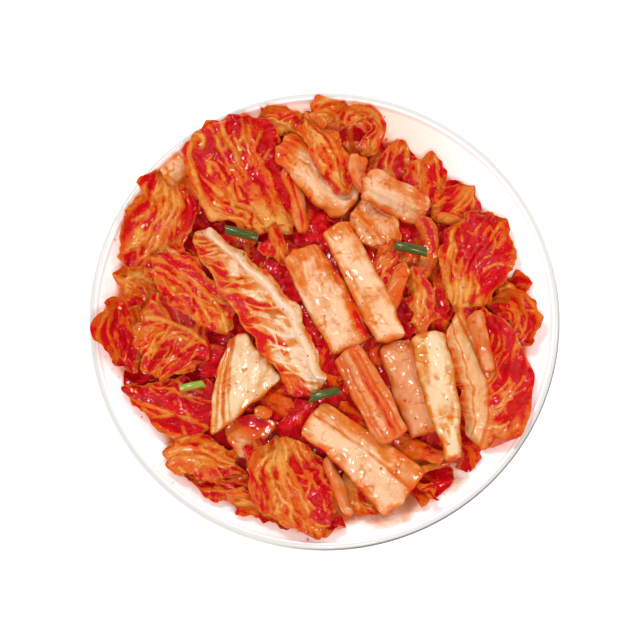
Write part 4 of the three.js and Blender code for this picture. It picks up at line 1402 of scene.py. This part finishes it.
def juice_material():
    material, tree, body = make_material("juice")
    cloud = math_node(tree, "SUBTRACT", noise_node(tree, place(tree), 180.0, 3.0), 0.5)
    thick = math_node(tree, "ADD", mark_node(tree, "depth"), math_node(tree, "MULTIPLY", cloud, 0.8))
    tree.links.new(mix(tree, thick, colour("fbd0a8"), colour("f09c58")), body.inputs["Base Color"])
    clear = math_node(tree, "MULTIPLY", ramp(tree, thick, 0.05, 1.1), 0.75)
    tree.links.new(clear, body.inputs["Alpha"])
    set_inputs(body, {"Roughness": 0.2, "Coat Weight": 0.6, "Coat Roughness": 0.05})
    return material


def add_juice(rings=26, turns=90):
    angle = turn_angles(turns)
    share = np.linspace(0.01, 1, rings)[:, None]
    edge = 1 + 0.3 * noise(3 + 1.6 * np.cos(angle), 3 + 1.6 * np.sin(angle), 8) + 0.1 * noise(
        9 + 5 * np.cos(angle), 9 + 5 * np.sin(angle), 9)
    long, wide = (POOL[side] * share * edge for side in ("long", "wide"))
    east, north = math.cos(POOL_LEAN), math.sin(POOL_LEAN)
    x = POOL["middle"][0] + long * np.cos(angle) * east - wide * np.sin(angle) * north
    y = POOL["middle"][1] + long * np.cos(angle) * north + wide * np.sin(angle) * east
    held = np.minimum(1, POOL_REACH / np.hypot(x, y))
    x, y = x * held, y * held
    inner = section[np.argmax(section[:, 0]):]
    wall = np.interp(np.hypot(x, y), inner[::-1, 0], inner[::-1, 1])
    film = wall + 0.1 + 0.35 * (1 - share ** 2)
    depth = np.tile(((1 - share ** 2) + 0 * angle).ravel(), 2)
    juice = add_mesh("juice_pool", shell_points(x, y, film, wall + 0.05),
                     round_shell_faces(rings, turns), {"depth": depth})
    finish_piece(juice, None, juice_material())
    print("juice, mm:", np.round(np.ptp(x), 1), "by", np.round(np.ptp(y), 1))


add_juice()

# %% [markdown]
# Chili flakes and a few seeds stick wherever the sauce has left them, so they are dropped on a map of
# all that has been made so far, and tilted to its slope. They lie thickest on the cabbage, thin out
# over the plate, and gather where the juice is.

# %% Places for the flakes
tops = np.maximum(ground, plate_ground)
for x, y, top in finished.values():
    tops = np.maximum(tops, draw_map(x, y, top, False))
for tube in tubes.values():
    tops = np.maximum(tops, draw_map(*tube.T, False))
tops = np.where(np.isfinite(tops), tops, 0)
slope_y, slope_x = np.gradient(blur(tops, times=2), CELL)


def spots_on_heap(rng, count, spread, reach=82):
    """Random places, kept more often where much of the heap is near."""
    crowd = blur(heap, spread)
    places = rng.uniform(-reach, reach, (count * 6, 2))
    chance = crowd[cell_of(places[:, 0], places[:, 1])]
    kept = rng.uniform(0, 1, len(places)) < chance ** 1.5
    inside = np.hypot(places[:, 0], places[:, 1]) < reach
    return places[kept & inside][:count]


def spots_in_pool(rng, count):
    middle_x, middle_y = POOL["middle"]
    spots = np.stack([middle_x + rng.normal(0, 9, count), middle_y + rng.normal(0, 5, count)], -1)
    open_plate = heap[cell_of(spots[:, 0], spots[:, 1])] == 0
    return spots[(np.hypot(spots[:, 0], spots[:, 1]) < POOL_REACH - 1) & open_plate]


print("top of the heap, mm:", np.round(tops.max(), 1))

# %% [markdown]
# A flake is a small bent many-sided chip with some thickness, and a seed is a pale flat oval. They
# could be scattered with geometry nodes, as copies of a few chips. Here one function makes them all at
# once, so that every chip has a shape of its own: a ring of points below, a ring above and a crown,
# joined by one pattern of triangles that is repeated for each chip.

# %% Chips
def chips(rng, spots, size, thick, sides):
    """Small flat many-sided chips lying on the map of tops."""
    count = len(spots)
    angle = np.arange(sides)[None, :] * 2 * math.pi / sides + rng.uniform(0, 6.3, (count, 1))
    long = size[:, None] * rng.uniform(0.6, 1.1, (count, sides))
    spin = rng.uniform(0, math.pi, (count, 1))
    east, north = long * np.cos(angle), 0.62 * long * np.sin(angle)
    x = spots[:, :1] + east * np.cos(spin) - north * np.sin(spin)
    y = spots[:, 1:] + east * np.sin(spin) + north * np.cos(spin)
    here = cell_of(spots[:, 0], spots[:, 1])
    tip_x, tip_y = (np.clip(slope[here], -1.2, 1.2)[:, None] for slope in (slope_x, slope_y))
    lift = tops[here][:, None] + tip_x * (x - spots[:, :1]) + tip_y * (y - spots[:, 1:])
    low = np.stack([x, y, lift - 0.25], -1)
    high = np.stack([x, y, lift + thick[:, None] * rng.uniform(0.6, 1.0, (count, sides))], -1)
    crown = np.stack([spots[:, 0], spots[:, 1], lift.mean(axis=1) + thick * 1.25], -1)[:, None]
    points = np.concatenate([low, high, crown, crown - [0, 0, 0.35]], axis=1)
    near, each = np.arange(sides), points.shape[1]
    ahead = (near + 1) % sides
    pattern = np.concatenate([
        np.stack([near + sides, ahead + sides, np.full(sides, 2 * sides)], -1),
        np.stack([ahead, near, np.full(sides, 2 * sides + 1)], -1),
        np.stack([near, ahead, ahead + sides], -1),
        np.stack([near, ahead + sides, near + sides], -1)])
    faces = (pattern[None] + np.arange(count)[:, None, None] * each).reshape(-1, 3)
    return points.reshape(-1, 3), faces, {"tone": np.repeat(rng.uniform(0, 1, count), each)}


one_chip = chips(np.random.default_rng(1), np.zeros((1, 2)), np.ones(1), np.ones(1), 6)
print("a six-sided chip:", len(one_chip[0]), "points,", len(one_chip[1]), "faces")

# %% [markdown]
# Dried chili skin is thin and shiny, and seeds are pale yellow with a soft shine. Each chip has a tone
# of its own between two colours. Most flakes are less than a millimetre across and a few are much
# larger, which a log-normal draw gives.

# %% Flakes and seeds
def speck_material(name, first, second, coat):
    material, tree, body = make_material(name)
    fine = noise_node(tree, place(tree), 1500.0)
    tone = math_node(tree, "ADD", mark_node(tree, "tone"), math_node(tree, "SUBTRACT", fine, 0.5))
    tree.links.new(mix(tree, tone, colour(first), colour(second)), body.inputs["Base Color"])
    set_inputs(body, {"Roughness": 0.4, "Coat Weight": coat, "Coat Roughness": 0.1})
    return material


rng = np.random.default_rng(11)
pool_spots = spots_in_pool(rng, count=110)
heap_spots = spots_on_heap(rng, count=300, spread=6)
plate_spots = spots_on_heap(rng, count=150, spread=160)
spots = np.concatenate([heap_spots, plate_spots, pool_spots])
size = rng.lognormal(mean=-1.1, sigma=0.42, size=len(spots)).clip(0.15, 1.4)
flakes = add_mesh("chili_flakes", *chips(rng, spots, size, thick=0.1 + 0.12 * size, sides=6))
finish_piece(flakes, None, speck_material("chili_skin", "c02410", "e06420", coat=0.6))
seed_spots = spots_on_heap(rng, count=22, spread=4)
seed_size, seed_thick = np.full(len(seed_spots), 0.95), np.full(len(seed_spots), 0.35)
seeds = add_mesh("chili_seeds", *chips(rng, seed_spots, seed_size, seed_thick, sides=9))
finish_piece(seeds, None, speck_material("chili_seed", "e8b35a", "f0d08c", coat=0.5))
print("flakes:", len(spots), "seeds:", len(seed_spots))

# %% [markdown]
# The floor is one plain pale square, wide enough to reach far behind the plate in a low view. A little
# glow keeps it white where the plate shades it.

# %% The floor
def add_floor(half=3000):
    points = np.array([(x, y, 0.0) for x in (-half, half) for y in (-half, half)])
    floor = add_mesh("floor", points, [(0, 2, 3, 1)], {})
    material, _, body = make_material("pale_floor")
    white = (1, 1, 1, 1)
    set_inputs(body, {"Base Color": white, "Roughness": 0.8, "Emission Color": white,
                      "Emission Strength": 0.3})
    floor.data.materials.append(material)
    print("floor, mm:", 2 * half)


add_floor()

# %% [markdown]
# Wet food gets little light from straight above, as a bright ceiling mirrored in the sauce would grey
# its colour, so the sky is bright round the horizon and dim overhead. Three small lamps high up give
# the sharp glints: a key behind on the left, a fill in front, and a weak one on the right.

# %% Light
def add_light(name, place_mm, size, watts):
    light = bpy.data.lights.new(name, "AREA")
    light.size, light.energy = size, watts
    lamp = bpy.data.objects.new(name, light)
    lamp.location = [p * MM for p in place_mm]
    lamp.rotation_euler = (-lamp.location).to_track_quat("-Z", "Y").to_euler()
    bpy.context.scene.collection.objects.link(lamp)


def add_sky(horizon, zenith):
    world = bpy.data.worlds.new("studio")
    world.use_nodes = True
    tree = world.node_tree
    height = add_node(tree, "ShaderNodeSeparateXYZ", {
        "Vector": add_node(tree, "ShaderNodeTexCoord").outputs["Generated"]}).outputs["Z"]
    level = add_node(tree, "ShaderNodeMapRange", {
        "Value": height, "From Min": 0.35, "From Max": 0.8, "To Min": horizon, "To Max": zenith})
    tree.nodes["Background"].inputs["Color"].default_value = (1, 1, 1, 1)
    tree.links.new(level.outputs[0], tree.nodes["Background"].inputs["Strength"])
    bpy.context.scene.world = world


add_light("key", (-250, 420, 1000), size=0.2, watts=4.8)
add_light("fill", (60, -480, 1150), size=0.22, watts=5.6)
add_light("side", (520, 200, 850), size=0.1, watts=1.4)
add_sky(horizon=0.78, zenith=0.2)
bpy.context.scene.view_settings.view_transform = "Standard"

# %% [markdown]
# The camera looks steeply down from the eater's side, from far off with a long lens, so that the plate
# keeps its round shape and near and far pieces are drawn at nearly the same size.

# %% Camera
def add_camera(elevation, distance, lens, aim_mm):
    camera = bpy.data.objects.new("camera", bpy.data.cameras.new("camera"))
    camera.data.lens = lens
    tilt = math.radians(elevation)
    camera.location = np.array(aim_mm) * MM + distance * np.array([0, -math.cos(tilt), math.sin(tilt)])
    camera.rotation_euler = (math.pi / 2 - tilt, 0, 0)
    bpy.context.scene.collection.objects.link(camera)
    bpy.context.scene.camera = camera
    print("camera at, m:", np.round(camera.location, 3).tolist())


add_camera(elevation=76.5, distance=1.6, lens=249.4, aim_mm=(-1.6, -0.7, 24))
